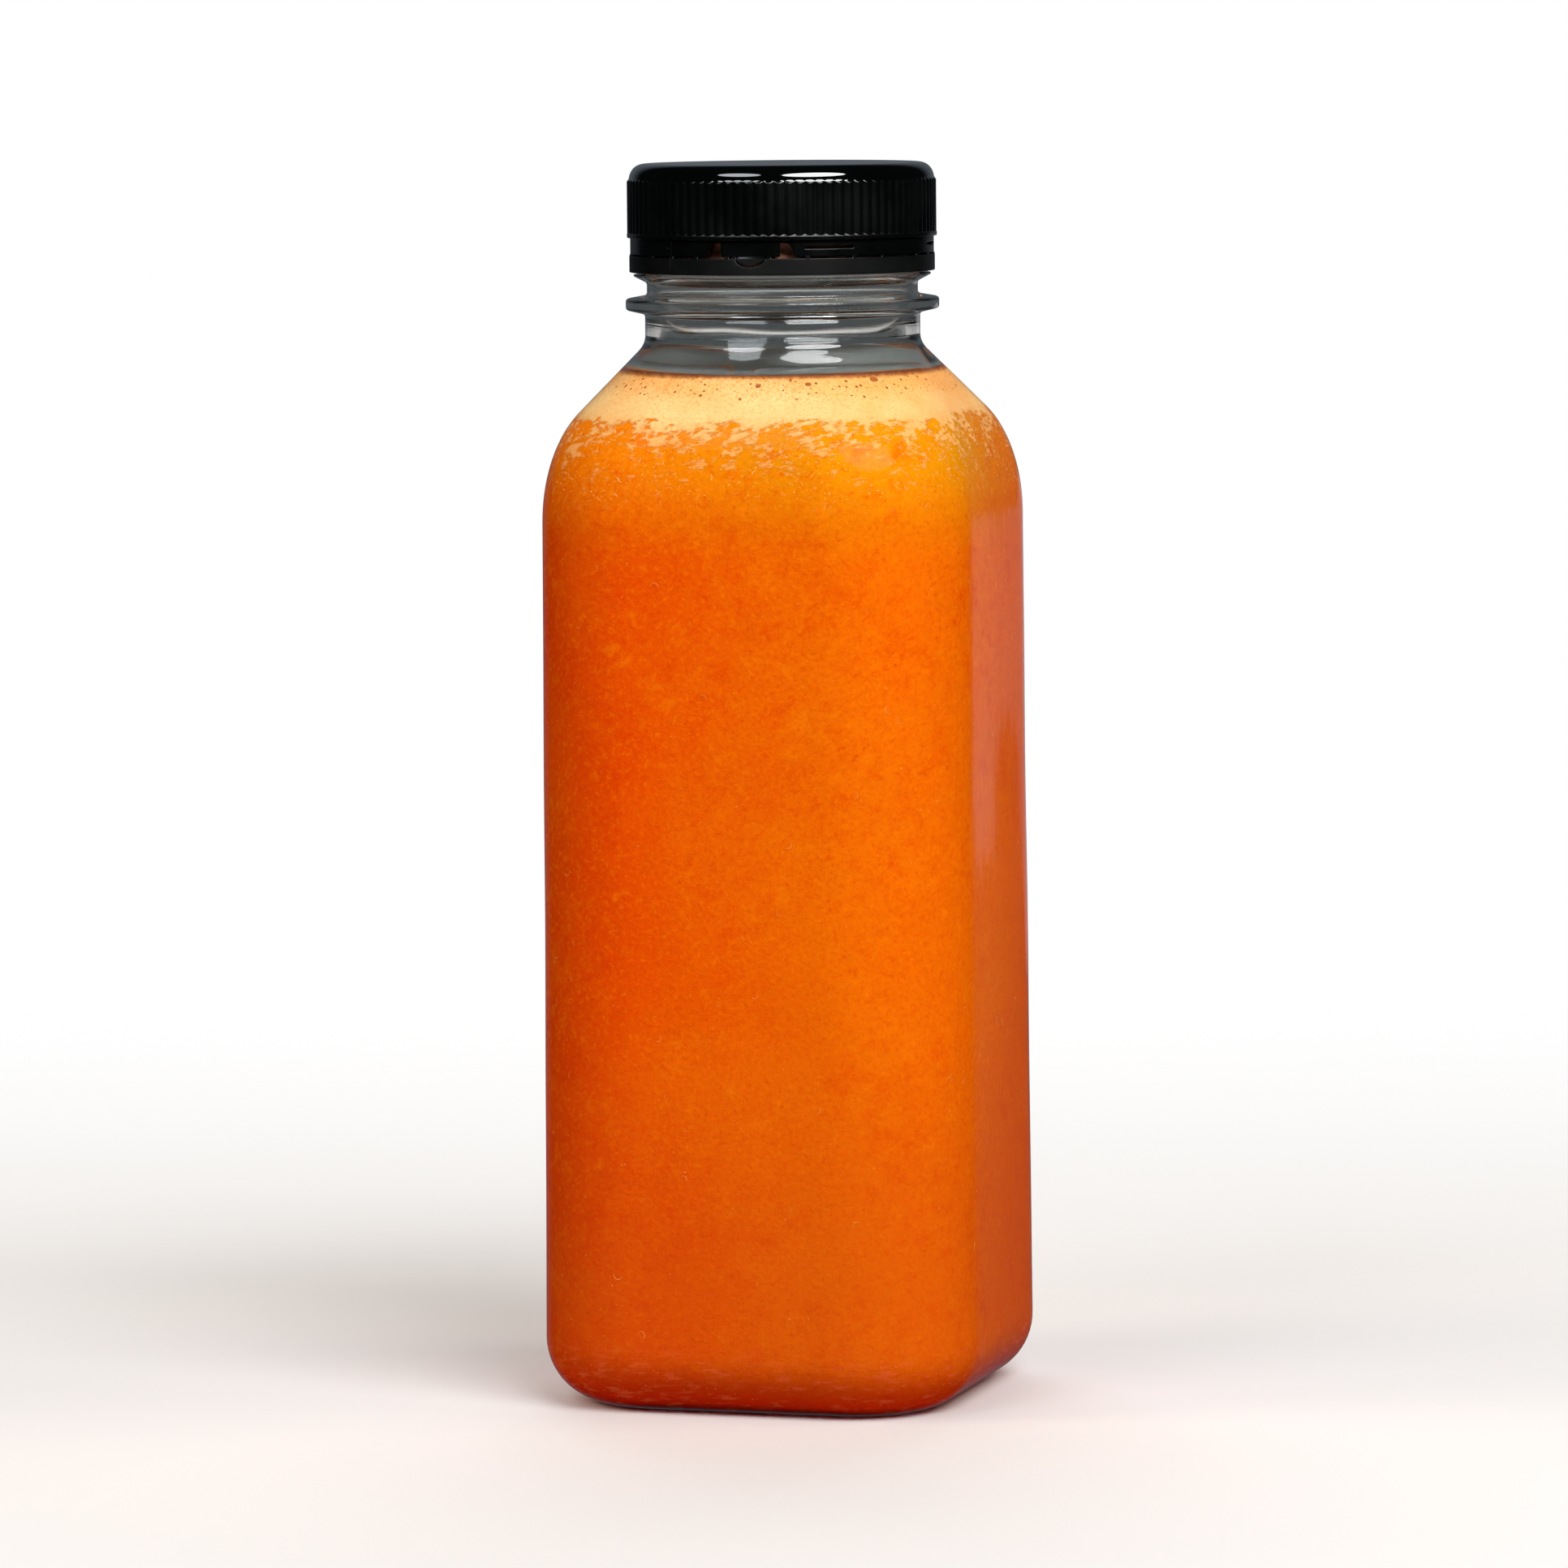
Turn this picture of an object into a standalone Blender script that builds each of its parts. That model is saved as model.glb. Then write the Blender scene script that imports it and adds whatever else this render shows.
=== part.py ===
"""A shut square bottle of juice: clear bottle, black screw cap, juice and the foam on top.

All sizes are in metres, +Z is up, and the origin is under the middle of the base. The flat
sides face X and Y. Run it with blender --background --python part.py or from the text editor.
"""

import math

import bmesh
import bpy
from mathutils import Vector

MM = 0.001

# The bottle: a rounded square that turns into a round neck
BODY_HALF_AT_HEEL = 29.75 * MM
BODY_HALF_AT_SHOULDER = 29.2 * MM
BODY_CORNER_R = 16.5 * MM
HEEL_R = 8.65 * MM
SHOULDER_START_Z = 118.0 * MM
SHOULDER_DOME_WIDTH = 8.1 * MM
SHOULDER_DOME_HEIGHT = 17.0 * MM
SHOULDER_DOME_END = math.radians(58.5)
NECK_R = 18.43 * MM
NECK_FILLET_R = 3.45 * MM
WALL = 0.8 * MM

# The foot is a flat rim round a shallow recess
FOOT_RIM_WIDTH = 4.0 * MM
RECESS_SLOPE_WIDTH = 3.0 * MM
RECESS_DEPTH = 1.6 * MM

# The neck: support ring, a bead under the cap's band, then the plain neck under the cap
RING_R = 21.0 * MM
RING_LOW_Z = 145.5 * MM
RING_HIGH_Z = 147.75 * MM
RING_TIP_THICKNESS = 1.5 * MM
NECK_TOP_R = 18.15 * MM
BEAD_R = 19.9 * MM
BEAD_LOW_Z = 149.7 * MM
BEAD_HIGH_Z = 150.6 * MM
MOUTH_Z = 163.6 * MM
BORE_R = 16.9 * MM

# The cap, from the top down
CAP_TOP_Z = 165.45 * MM
CAP_TOP_FLAT_R = 18.45 * MM
CAP_EDGE_R = 1.45 * MM
CAP_EDGE_TURN = math.radians(63)
CAP_CONE_FOOT_R = 20.35 * MM
RIB_TOP_Z = 163.2 * MM
RIB_FOOT_Z = 156.15 * MM
RIB_OUTER_R = 20.70 * MM
RIB_INNER_R = 20.40 * MM
RIB_COUNT = 94
LEDGE_R = 20.75 * MM
LEDGE_FOOT_Z = 155.6 * MM
SKIRT_R = 20.33 * MM
SKIRT_FOOT_Z = 153.45 * MM
BAND_R = 20.46 * MM
BAND_TOP_Z = 153.2 * MM
BAND_FOOT_Z = 151.0 * MM
BAND_EDGE_R = 0.25 * MM
CAP_BORE_R = 19.2 * MM
CAP_TOP_THICKNESS = 1.5 * MM

# The tamper band hangs on small bridges, in a pattern that comes three times round the cap
TAB_CENTRE = math.radians(-85.85)
PATTERN_REPEATS = 3
BRIDGE_ANGLES = (-21.9, -8.9, 7.2, 21.7, 40.2, 53.2, 74.2, 86.1)
BRIDGE_WIDTH = 0.65 * MM
TAB_HALF_ANGLE = math.radians(11.35)
WINDOW_FOOT_ANGLE = math.radians(5.4)
WINDOW_TOP_ANGLE = math.radians(2.0)
WINDOW_TOP_Z = 155.2 * MM
TONGUE_HALF_WIDTH = 2.0 * MM
TONGUE_DROP = 1.15 * MM

# The filling
JUICE_TOP_Z = 132.5 * MM
FOAM_TOP_Z = 137.8 * MM
CLEARANCE = 0.3 * MM

# Small steps: an undercut's rise, how far a cutter stands out, and the sharpest inner corner
UNDERCUT = 0.08 * MM
CUTTER_MARGIN = 0.6 * MM
LEAST_CORNER_SHARE = 0.1
SMOOTH_BELOW = math.radians(30)

# How finely the shapes are divided
HEEL_STEPS = 6
BODY_STEPS = 3
DOME_STEPS = 6
SLOPE_STEPS = 4
FILLET_STEPS = 3
CAP_EDGE_STEPS = 2
CORNER_STEPS = 8
SIDE_ANGLES = (-12.0, 0.0, 12.0)
CAP_COLUMNS = 64
SLOT_STEP = math.radians(1.5)


def column_angles():
    """Directions of the points round the bottle, closer together on the corners."""
    straight = BODY_HALF_AT_SHOULDER - BODY_CORNER_R
    angles = []
    for side in range(4):
        turn = math.radians(90 * side)
        angles += [turn + math.radians(angle) for angle in SIDE_ANGLES]
        for step in range(CORNER_STEPS + 1):
            bend = math.radians(90) * step / CORNER_STEPS
            x = straight + BODY_CORNER_R * math.cos(bend)
            y = straight + BODY_CORNER_R * math.sin(bend)
            angles.append(turn + math.atan2(y, x))
    return angles


def reach(angle, half, corner):
    """Distance from the axis to a rounded square's outline in one direction."""
    c, s = sorted((abs(math.cos(angle)), abs(math.sin(angle))), reverse=True)
    straight = half - corner
    if half * s / c <= straight:
        return half / c
    return straight * (c + s) + math.sqrt(corner**2 - straight**2 * (1 - 2 * c * s))


def square_ring(mesh, level, angles):
    """The points of one level of the bottle, given as half width, corner radius and height."""
    half, corner, z = level
    points = []
    for angle in angles:
        distance = reach(angle, half, corner)
        point = Vector((distance * math.cos(angle), distance * math.sin(angle), z))
        points.append(mesh.verts.new(point))
    return points


def round_ring(mesh, radius, z, count, valley=None):
    """The points of one level of the cap; every second one lies at the valley radius."""
    points = []
    for step in range(count):
        angle = 2 * math.pi * step / count
        r = valley if valley and step % 2 else radius
        points.append(mesh.verts.new((r * math.cos(angle), r * math.sin(angle), z)))
    return points


def join_rings(mesh, first, second):
    """A strip of triangles between two rings that start in the same direction."""
    i = j = 0
    while i < len(first) or j < len(second):
        a, b = first[i % len(first)], second[j % len(second)]
        if j == len(second) or (i < len(first) and (i + 1) * len(second) <= (j + 1) * len(first)):
            i += 1
            mesh.faces.new((a, first[i % len(first)], b))
        else:
            j += 1
            mesh.faces.new((a, second[j % len(second)], b))


def close_ring(mesh, ring):
    """A fan of triangles from a ring to its middle."""
    centre = mesh.verts.new((0, 0, ring[0].co.z))
    for k, point in enumerate(ring):
        mesh.faces.new((point, ring[(k + 1) % len(ring)], centre))


def closed_stack(mesh, rings):
    """One closed body from a stack of rings, shut at both ends."""
    for lower, upper in zip(rings, rings[1:]):
        join_rings(mesh, lower, upper)
    close_ring(mesh, rings[0])
    close_ring(mesh, rings[-1])
    bmesh.ops.recalc_face_normals(mesh, faces=mesh.faces)


def foot_levels():
    """From the middle of the recess out to the flat rim."""
    rim_half = BODY_HALF_AT_HEEL - HEEL_R
    rim_corner = BODY_CORNER_R - HEEL_R
    levels = []
    for half, z in (
        (rim_half - FOOT_RIM_WIDTH - RECESS_SLOPE_WIDTH, RECESS_DEPTH),
        (rim_half - FOOT_RIM_WIDTH, 0.0),
    ):
        levels.append((half, rim_corner * half / rim_half, z))
    return levels


def heel_levels():
    """The quarter round between the base and the sides."""
    levels = []
    for step in range(HEEL_STEPS + 1):
        bend = math.radians(90) * step / HEEL_STEPS
        inset = HEEL_R * (1 - math.sin(bend))
        height = HEEL_R * (1 - math.cos(bend))
        levels.append((BODY_HALF_AT_HEEL - inset, BODY_CORNER_R - inset, height))
    return levels


def side_levels():
    """The sides lean in a little from the heel to the shoulder."""
    levels = []
    for step in range(1, BODY_STEPS):
        share = step / BODY_STEPS
        half = BODY_HALF_AT_HEEL + (BODY_HALF_AT_SHOULDER - BODY_HALF_AT_HEEL) * share
        levels.append((half, BODY_CORNER_R, HEEL_R + (SHOULDER_START_Z - HEEL_R) * share))
    return levels


def shoulder_corner(half):
    """The corners grow rounder as the shoulder closes in on the neck."""
    share = (half - NECK_R) / (BODY_HALF_AT_SHOULDER - NECK_R)
    return NECK_R + (BODY_CORNER_R - NECK_R) * share


def shoulder_levels():
    """A dome, a straight slope and a hollow fillet that ends on the neck."""
    profile = []
    for step in range(DOME_STEPS + 1):
        bend = SHOULDER_DOME_END * step / DOME_STEPS
        half = BODY_HALF_AT_SHOULDER - SHOULDER_DOME_WIDTH * (1 - math.cos(bend))
        profile.append((half, SHOULDER_START_Z + SHOULDER_DOME_HEIGHT * math.sin(bend)))
    slope = math.atan(math.tan(SHOULDER_DOME_END) * SHOULDER_DOME_WIDTH / SHOULDER_DOME_HEIGHT)
    fillet_half = NECK_R + NECK_FILLET_R * (1 - math.cos(slope))
    fillet_z = profile[-1][1] + (profile[-1][0] - fillet_half) / math.tan(slope)
    neck_z = fillet_z + NECK_FILLET_R * math.sin(slope)
    dome_half, dome_z = profile[-1]
    for step in range(1, SLOPE_STEPS):
        share = step / SLOPE_STEPS
        half = dome_half + (fillet_half - dome_half) * share
        profile.append((half, dome_z + (fillet_z - dome_z) * share))
    for step in range(FILLET_STEPS + 1):
        bend = slope * (1 - step / FILLET_STEPS)
        half = NECK_R + NECK_FILLET_R * (1 - math.cos(bend))
        profile.append((half, neck_z - NECK_FILLET_R * math.sin(bend)))
    return [(half, shoulder_corner(half), z) for half, z in profile]


def neck_levels():
    """The support ring, the bead and the plain neck up to the mouth."""
    ring_middle = (RING_LOW_Z + RING_HIGH_Z) / 2
    profile = (
        (NECK_R, RING_LOW_Z),
        (RING_R, ring_middle - RING_TIP_THICKNESS / 2),
        (RING_R, ring_middle + RING_TIP_THICKNESS / 2),
        (NECK_TOP_R, RING_HIGH_Z),
        (NECK_TOP_R, BEAD_LOW_Z),
        (BEAD_R, BEAD_HIGH_Z),
        (NECK_TOP_R, BEAD_HIGH_Z + UNDERCUT),
        (NECK_TOP_R, MOUTH_Z),
    )
    return [(radius, radius, z) for radius, z in profile]


def inset_levels(levels, depth):
    """The same outline moved in by a depth, square to the wall."""
    moved = []
    for k, (half, corner, z) in enumerate(levels):
        before = levels[max(k - 1, 0)]
        after = levels[min(k + 1, len(levels) - 1)]
        along = Vector((after[0] - before[0], after[2] - before[2])).normalized()
        side, up = along.y * depth, along.x * depth
        moved.append((half - side, max(corner - side, LEAST_CORNER_SHARE * half), z + up))
    return moved


def level_at(levels, z):
    """The outline at one height, between the two levels next to it."""
    for low, high in zip(levels, levels[1:]):
        if low[2] <= z <= high[2] and high[2] > low[2]:
            share = (z - low[2]) / (high[2] - low[2])
            return tuple(a + (b - a) * share for a, b in zip(low[:2], high[:2])) + (z,)
    raise ValueError("no level at this height")


def body_levels():
    """The outside of the bottle from the recess to the top of the shoulder."""
    return foot_levels() + heel_levels() + side_levels() + shoulder_levels()


def bottle_shape(mesh):
    """The clear shell, open at the mouth: up the outside, over the lip and down the inside."""
    outside = body_levels() + neck_levels()
    inside = inset_levels(body_levels(), WALL)
    inside += [(BORE_R, BORE_R, RING_LOW_Z), (BORE_R, BORE_R, MOUTH_Z)]
    angles = column_angles()
    closed_stack(mesh, [square_ring(mesh, level, angles) for level in outside + inside[::-1]])


def juice_shape(mesh):
    """The drink from the floor of the bottle up to the foam."""
    inside = inset_levels(body_levels(), WALL + CLEARANCE)
    levels = [level for level in inside if level[2] < JUICE_TOP_Z]
    levels.append(level_at(inside, JUICE_TOP_Z))
    angles = column_angles()
    closed_stack(mesh, [square_ring(mesh, level, angles) for level in levels])


def foam_shape(mesh):
    """The layer of foam on the drink."""
    inside = inset_levels(body_levels(), WALL + CLEARANCE)
    low, high = JUICE_TOP_Z + CLEARANCE, FOAM_TOP_Z
    levels = [level_at(inside, low)]
    levels += [level for level in inside if low < level[2] < high]
    levels.append(level_at(inside, high))
    angles = column_angles()
    closed_stack(mesh, [square_ring(mesh, level, angles) for level in levels])


def cap_shape(mesh):
    """The cap with its ribs and its band, from the top down the outside and up the bore."""
    upper_profile = []
    for step in range(CAP_EDGE_STEPS + 1):
        bend = CAP_EDGE_TURN * step / CAP_EDGE_STEPS
        radius = CAP_TOP_FLAT_R + CAP_EDGE_R * math.sin(bend)
        upper_profile.append((radius, CAP_TOP_Z - CAP_EDGE_R * (1 - math.cos(bend))))
    upper_profile.append((CAP_CONE_FOOT_R, RIB_TOP_Z + CLEARANCE))
    rings = [round_ring(mesh, radius, z, CAP_COLUMNS) for radius, z in upper_profile]
    for z in (RIB_TOP_Z, RIB_FOOT_Z):
        rings.append(round_ring(mesh, RIB_OUTER_R, z, 2 * RIB_COUNT, valley=RIB_INNER_R))
    lower_profile = (
        (LEDGE_R, RIB_FOOT_Z - UNDERCUT),
        (LEDGE_R, LEDGE_FOOT_Z),
        (SKIRT_R, LEDGE_FOOT_Z - UNDERCUT),
        (SKIRT_R, SKIRT_FOOT_Z),
        (BAND_R, BAND_TOP_Z),
        (BAND_R, BAND_FOOT_Z + BAND_EDGE_R),
        (BAND_R - BAND_EDGE_R, BAND_FOOT_Z),
        (CAP_BORE_R, BAND_FOOT_Z),
        (CAP_BORE_R, CAP_TOP_Z - CAP_TOP_THICKNESS),
    )
    rings += [round_ring(mesh, radius, z, CAP_COLUMNS) for radius, z in lower_profile]
    closed_stack(mesh, rings)


def opening_edges(angle):
    """Lowest and highest point of the gap round the band, at an angle from the tab's middle."""
    low, high = BAND_TOP_Z, SKIRT_FOOT_Z
    across = abs(angle) * BAND_R / TONGUE_HALF_WIDTH
    if across < 1:
        drop = TONGUE_DROP * math.sqrt(1 - across**2)
        return low - drop, high - drop
    beside = abs(angle) - TAB_HALF_ANGLE
    if 0 < beside < WINDOW_FOOT_ANGLE:
        share = (beside - WINDOW_TOP_ANGLE) / (WINDOW_FOOT_ANGLE - WINDOW_TOP_ANGLE)
        high += (WINDOW_TOP_Z - high) * math.sqrt(1 - max(share, 0.0) ** 2)
    return low, high


def add_opening(mesh, start, end, turn):
    """One stretch of the gap, cut through the cap's wall from inside to outside."""
    inner_r, outer_r = CAP_BORE_R - CUTTER_MARGIN, BAND_R + CUTTER_MARGIN
    count = max(2, round((end - start) / SLOT_STEP))
    columns = []
    for step in range(count + 1):
        angle = start + (end - start) * step / count
        low, high = opening_edges(angle)
        c, s = math.cos(angle + turn), math.sin(angle + turn)
        corners = ((inner_r, low), (outer_r, low), (outer_r, high), (inner_r, high))
        columns.append([mesh.verts.new((r * c, r * s, z)) for r, z in corners])
    for first, second in zip(columns, columns[1:]):
        for k in range(4):
            n = (k + 1) % 4
            mesh.faces.new((first[k], first[n], second[n], second[k]))
    mesh.faces.new(columns[0])
    mesh.faces.new(columns[-1])


def band_openings_shape(mesh):
    """The gaps between the bridges, all the way round."""
    half_bridge = BRIDGE_WIDTH / BAND_R / 2
    pattern = 2 * math.pi / PATTERN_REPEATS
    bridges = [math.radians(angle) for angle in BRIDGE_ANGLES]
    for repeat in range(PATTERN_REPEATS):
        turn = TAB_CENTRE + pattern * repeat
        for start, end in zip(bridges, bridges[1:] + [bridges[0] + pattern]):
            add_opening(mesh, start + half_bridge, end - half_bridge, turn)
    bmesh.ops.recalc_face_normals(mesh, faces=mesh.faces)


def plastic(name, colour, roughness, alpha=1.0):
    """A plain material in one colour."""
    material = bpy.data.materials.new(name)
    material.use_nodes = True
    shader = material.node_tree.nodes["Principled BSDF"]
    shader.inputs["Base Color"].default_value = (*colour, 1.0)
    shader.inputs["Roughness"].default_value = roughness
    shader.inputs["Metallic"].default_value = 0.0
    shader.inputs["Alpha"].default_value = alpha
    material.diffuse_color = (*colour, alpha)
    return material


def add_object(name, shape, material=None):
    """An object whose mesh is made by a shape function."""
    mesh = bmesh.new()
    shape(mesh)
    data = bpy.data.meshes.new(name)
    mesh.to_mesh(data)
    mesh.free()
    data.shade_smooth()
    data.set_sharp_from_angle(angle=SMOOTH_BELOW)
    made = bpy.data.objects.new(name, data)
    bpy.context.collection.objects.link(made)
    if material:
        data.materials.append(material)
    return made


def clear_scene():
    """Starts from an empty scene."""
    for old in list(bpy.data.objects):
        bpy.data.objects.remove(old, do_unlink=True)


clear_scene()
add_object("bottle", bottle_shape, plastic("clear_plastic", (0.62, 0.66, 0.67), 0.06, 0.3))
add_object("juice", juice_shape, plastic("juice", (0.80, 0.10, 0.002), 0.35))
add_object("foam", foam_shape, plastic("foam", (0.95, 0.58, 0.24), 0.7))
cap = add_object("cap", cap_shape, plastic("black_plastic", (0.006, 0.009, 0.009), 0.3))

gaps = add_object("band_openings", band_openings_shape)
gaps.hide_render = True
gaps.display_type = "WIRE"
cut = cap.modifiers.new("band_openings", "BOOLEAN")
cut.operation = "DIFFERENCE"
cut.solver = "EXACT"
cut.object = gaps
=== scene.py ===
"""A shut square bottle of orange juice: clear plastic bottle, black screw cap, juice and foam.

The bottle stands on the origin with its flat sides facing X and Y. Sizes are in metres.
"""

import math

import bmesh
import bpy
from mathutils import Matrix, Vector


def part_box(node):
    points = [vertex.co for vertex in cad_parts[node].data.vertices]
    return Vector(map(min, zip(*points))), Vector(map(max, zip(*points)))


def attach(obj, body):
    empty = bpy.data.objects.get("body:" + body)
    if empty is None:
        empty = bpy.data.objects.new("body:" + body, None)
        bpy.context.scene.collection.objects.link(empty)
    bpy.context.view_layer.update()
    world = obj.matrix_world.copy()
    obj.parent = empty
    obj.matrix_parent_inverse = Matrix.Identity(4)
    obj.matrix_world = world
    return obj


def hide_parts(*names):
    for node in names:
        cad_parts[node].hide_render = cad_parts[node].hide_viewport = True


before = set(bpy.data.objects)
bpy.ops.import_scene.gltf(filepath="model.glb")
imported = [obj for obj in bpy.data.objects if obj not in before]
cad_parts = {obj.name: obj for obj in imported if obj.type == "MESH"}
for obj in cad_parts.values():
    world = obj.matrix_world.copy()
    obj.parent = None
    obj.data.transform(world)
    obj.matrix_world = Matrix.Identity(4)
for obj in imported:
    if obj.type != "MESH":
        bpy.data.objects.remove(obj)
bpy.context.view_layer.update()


# The camera
# A long lens from a little above the bottle, turned towards its right side. The fit to the
# photograph gives the distance, the height and the angles.
CAMERA_DISTANCE = 1.130
CAMERA_HEIGHT = 0.1866
CAMERA_TURN = math.radians(16.29)
CAMERA_LOOKS_LEFT = math.radians(0.019)
CAMERA_PITCH = math.radians(5.29)
CAMERA_ROLL = math.radians(0.516)
CAMERA_LENS_MM = 193.5


def in_scene(name, data):
    """A new object in the scene."""
    made = bpy.data.objects.new(name, data)
    bpy.context.scene.collection.objects.link(made)
    return made


def add_camera():
    """The camera, with the small roll that the photograph shows."""
    forward = Vector((0, math.cos(CAMERA_PITCH), -math.sin(CAMERA_PITCH)))
    level_up = Vector((0, math.sin(CAMERA_PITCH), math.cos(CAMERA_PITCH)))
    level_right = Vector((1, 0, 0))
    right = level_right * math.cos(CAMERA_ROLL) - level_up * math.sin(CAMERA_ROLL)
    up = level_up * math.cos(CAMERA_ROLL) + level_right * math.sin(CAMERA_ROLL)
    axes = Matrix((right, up, -forward)).transposed().to_4x4()
    place = Matrix.Translation((0, -CAMERA_DISTANCE, CAMERA_HEIGHT))
    camera = in_scene("camera", bpy.data.cameras.new("camera"))
    camera.data.lens = CAMERA_LENS_MM
    look = Matrix.Rotation(CAMERA_LOOKS_LEFT, 4, "Z")
    camera.matrix_world = Matrix.Rotation(CAMERA_TURN, 4, "Z") @ place @ look @ axes
    bpy.context.scene.camera = camera


add_camera()


# The bottle
# One blow-moulded shell of clear plastic: a rounded square body, a domed shoulder, a round neck
# with its support ring, and a bead under the cap's band. The walls are a little uneven.
MM = 0.001
BODY_HALF_AT_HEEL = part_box("bottle")[1][0]
BODY_HALF_AT_SHOULDER = BODY_HALF_AT_HEEL - 0.55 * MM
BODY_CORNER_R = 16.5 * MM
HEEL_R = 8.65 * MM
FOOT_RIM_WIDTH = 4.0 * MM
RECESS_SLOPE_WIDTH = 3.0 * MM
RECESS_DEPTH = 1.6 * MM
SHOULDER_START_Z = 118.0 * MM
SHOULDER_DOME_WIDTH = 8.1 * MM
SHOULDER_DOME_HEIGHT = 17.0 * MM
SHOULDER_DOME_END = math.radians(58.5)
NECK_R = 18.43 * MM
NECK_FILLET_R = 3.45 * MM
WALL = 0.8 * MM
RING_R = 21.0 * MM
NECK_TOP_R = 18.15 * MM
BEAD_R = 19.9 * MM
MOUTH_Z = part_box("bottle")[1][2]
BORE_R = 16.9 * MM
FLARE_R = 18.13 * MM
FLARE_Z = 140.45 * MM
FLARE_ROUNDING = 9.0 * MM
FLARE_FOOT_R = 19.88 * MM
FLARE_FOOT_Z = 138.2 * MM
DENT_DEPTH = 0.3 * MM
DENT_Z = 82.0 * MM
DENT_HEIGHT = 11.0 * MM
DENT_WIDTH_ANGLE = 0.35
WAVE_DEPTH = 0.05 * MM
PLASTIC_IOR = 1.57
WETTED_IOR = 1.105
INNER_WAVE = 0.03 * MM
FOAM_LEVEL_Z = 137.6 * MM


def spread(count):
    """Even shares from 0 to 1."""
    return [step / count for step in range(count + 1)]


def rounded(path, steps=5):
    """A turned outline of (radius, height, rounding) corners, with the corners rounded."""
    points = []
    for k, (x, z, rounding) in enumerate(path):
        corner = Vector((x, z))
        if not rounding:
            points.append(corner)
            continue
        before = (Vector(path[k - 1][:2]) - corner).normalized()
        after = (Vector(path[k + 1][:2]) - corner).normalized()
        half_angle = before.angle(after) / 2
        centre = corner + (before + after).normalized() * (rounding / math.sin(half_angle))
        start = corner + before * (rounding / math.tan(half_angle)) - centre
        end = corner + after * (rounding / math.tan(half_angle)) - centre
        sweep = start.angle(end)
        for share in spread(steps):
            mixed = start * math.sin((1 - share) * sweep) + end * math.sin(share * sweep)
            points.append(centre + mixed / math.sin(sweep))
    return points


def foot_levels():
    """The recess under the base and the flat rim, as half width, corner radius and height."""
    rim_half = BODY_HALF_AT_HEEL - HEEL_R
    corner_share = (BODY_CORNER_R - HEEL_R) / rim_half
    recess_half = rim_half - FOOT_RIM_WIDTH - RECESS_SLOPE_WIDTH
    path = (
        (recess_half / 2, RECESS_DEPTH, 0),
        (recess_half, RECESS_DEPTH, 1.6 * MM),
        (rim_half - FOOT_RIM_WIDTH, 0, 1.2 * MM),
        (rim_half - 1.0 * MM, 0, 0),
    )
    return [(half, half * corner_share, z) for half, z in rounded(path)]


def side_levels():
    """The round heel, and the sides that lean in a little up to the shoulder."""
    levels = []
    for share in spread(16):
        bend = math.radians(90) * share
        inset = HEEL_R * (1 - math.sin(bend))
        height = HEEL_R * (1 - math.cos(bend))
        levels.append((BODY_HALF_AT_HEEL - inset, BODY_CORNER_R - inset, height))
    for share in spread(40)[1:-1]:
        half = BODY_HALF_AT_HEEL + (BODY_HALF_AT_SHOULDER - BODY_HALF_AT_HEEL) * share
        levels.append((half, BODY_CORNER_R, HEEL_R + (SHOULDER_START_Z - HEEL_R) * share))
    return levels


def shoulder_levels():
    """A dome, a straight slope and a hollow fillet; the square turns round on the way up."""
    slope = math.atan(math.tan(SHOULDER_DOME_END) * SHOULDER_DOME_WIDTH / SHOULDER_DOME_HEIGHT)
    profile = []
    for share in spread(20):
        bend = SHOULDER_DOME_END * share
        half = BODY_HALF_AT_SHOULDER - SHOULDER_DOME_WIDTH * (1 - math.cos(bend))
        profile.append((half, SHOULDER_START_Z + SHOULDER_DOME_HEIGHT * math.sin(bend)))
    dome_half, dome_z = profile[-1]
    fillet_half = NECK_R + NECK_FILLET_R * (1 - math.cos(slope))
    fillet_z = dome_z + (dome_half - fillet_half) / math.tan(slope)
    for share in spread(10)[1:-1]:
        half = dome_half + (fillet_half - dome_half) * share
        profile.append((half, dome_z + (fillet_z - dome_z) * share))
    neck_z = fillet_z + NECK_FILLET_R * math.sin(slope)
    for share in spread(10):
        bend = slope * (1 - share)
        half = NECK_R + NECK_FILLET_R * (1 - math.cos(bend))
        profile.append((half, neck_z - NECK_FILLET_R * math.sin(bend)))
    levels = []
    for half, z in profile:
        share = (half - NECK_R) / (BODY_HALF_AT_SHOULDER - NECK_R)
        levels.append((half, NECK_R + (BODY_CORNER_R - NECK_R) * share, z))
    return levels


def neck_path():
    """The outside of the neck from the support ring over the mouth and down the bore."""
    path = (
        (NECK_R, 142.4 * MM, 0),
        (NECK_R, 145.35 * MM, 0.5 * MM),
        (RING_R, 145.95 * MM, 0.45 * MM),
        (RING_R, 147.4 * MM, 0.45 * MM),
        (NECK_TOP_R, 147.9 * MM, 0.5 * MM),
        (NECK_TOP_R, 149.55 * MM, 0.5 * MM),
        (BEAD_R, 150.45 * MM, 0.1 * MM),
        (BEAD_R, 150.68 * MM, 0.08 * MM),
        (NECK_TOP_R, 150.74 * MM, 0.1 * MM),
        (NECK_TOP_R, MOUTH_Z, 0.3 * MM),
        (BORE_R, MOUTH_Z, 0.3 * MM),
        (BORE_R, 145.2 * MM, 3.0 * MM),
        (FLARE_R, FLARE_Z, FLARE_ROUNDING),
        (FLARE_FOOT_R, FLARE_FOOT_Z, 0),
    )
    return [(radius, radius, z) for radius, z in rounded(path, 9)]


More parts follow.
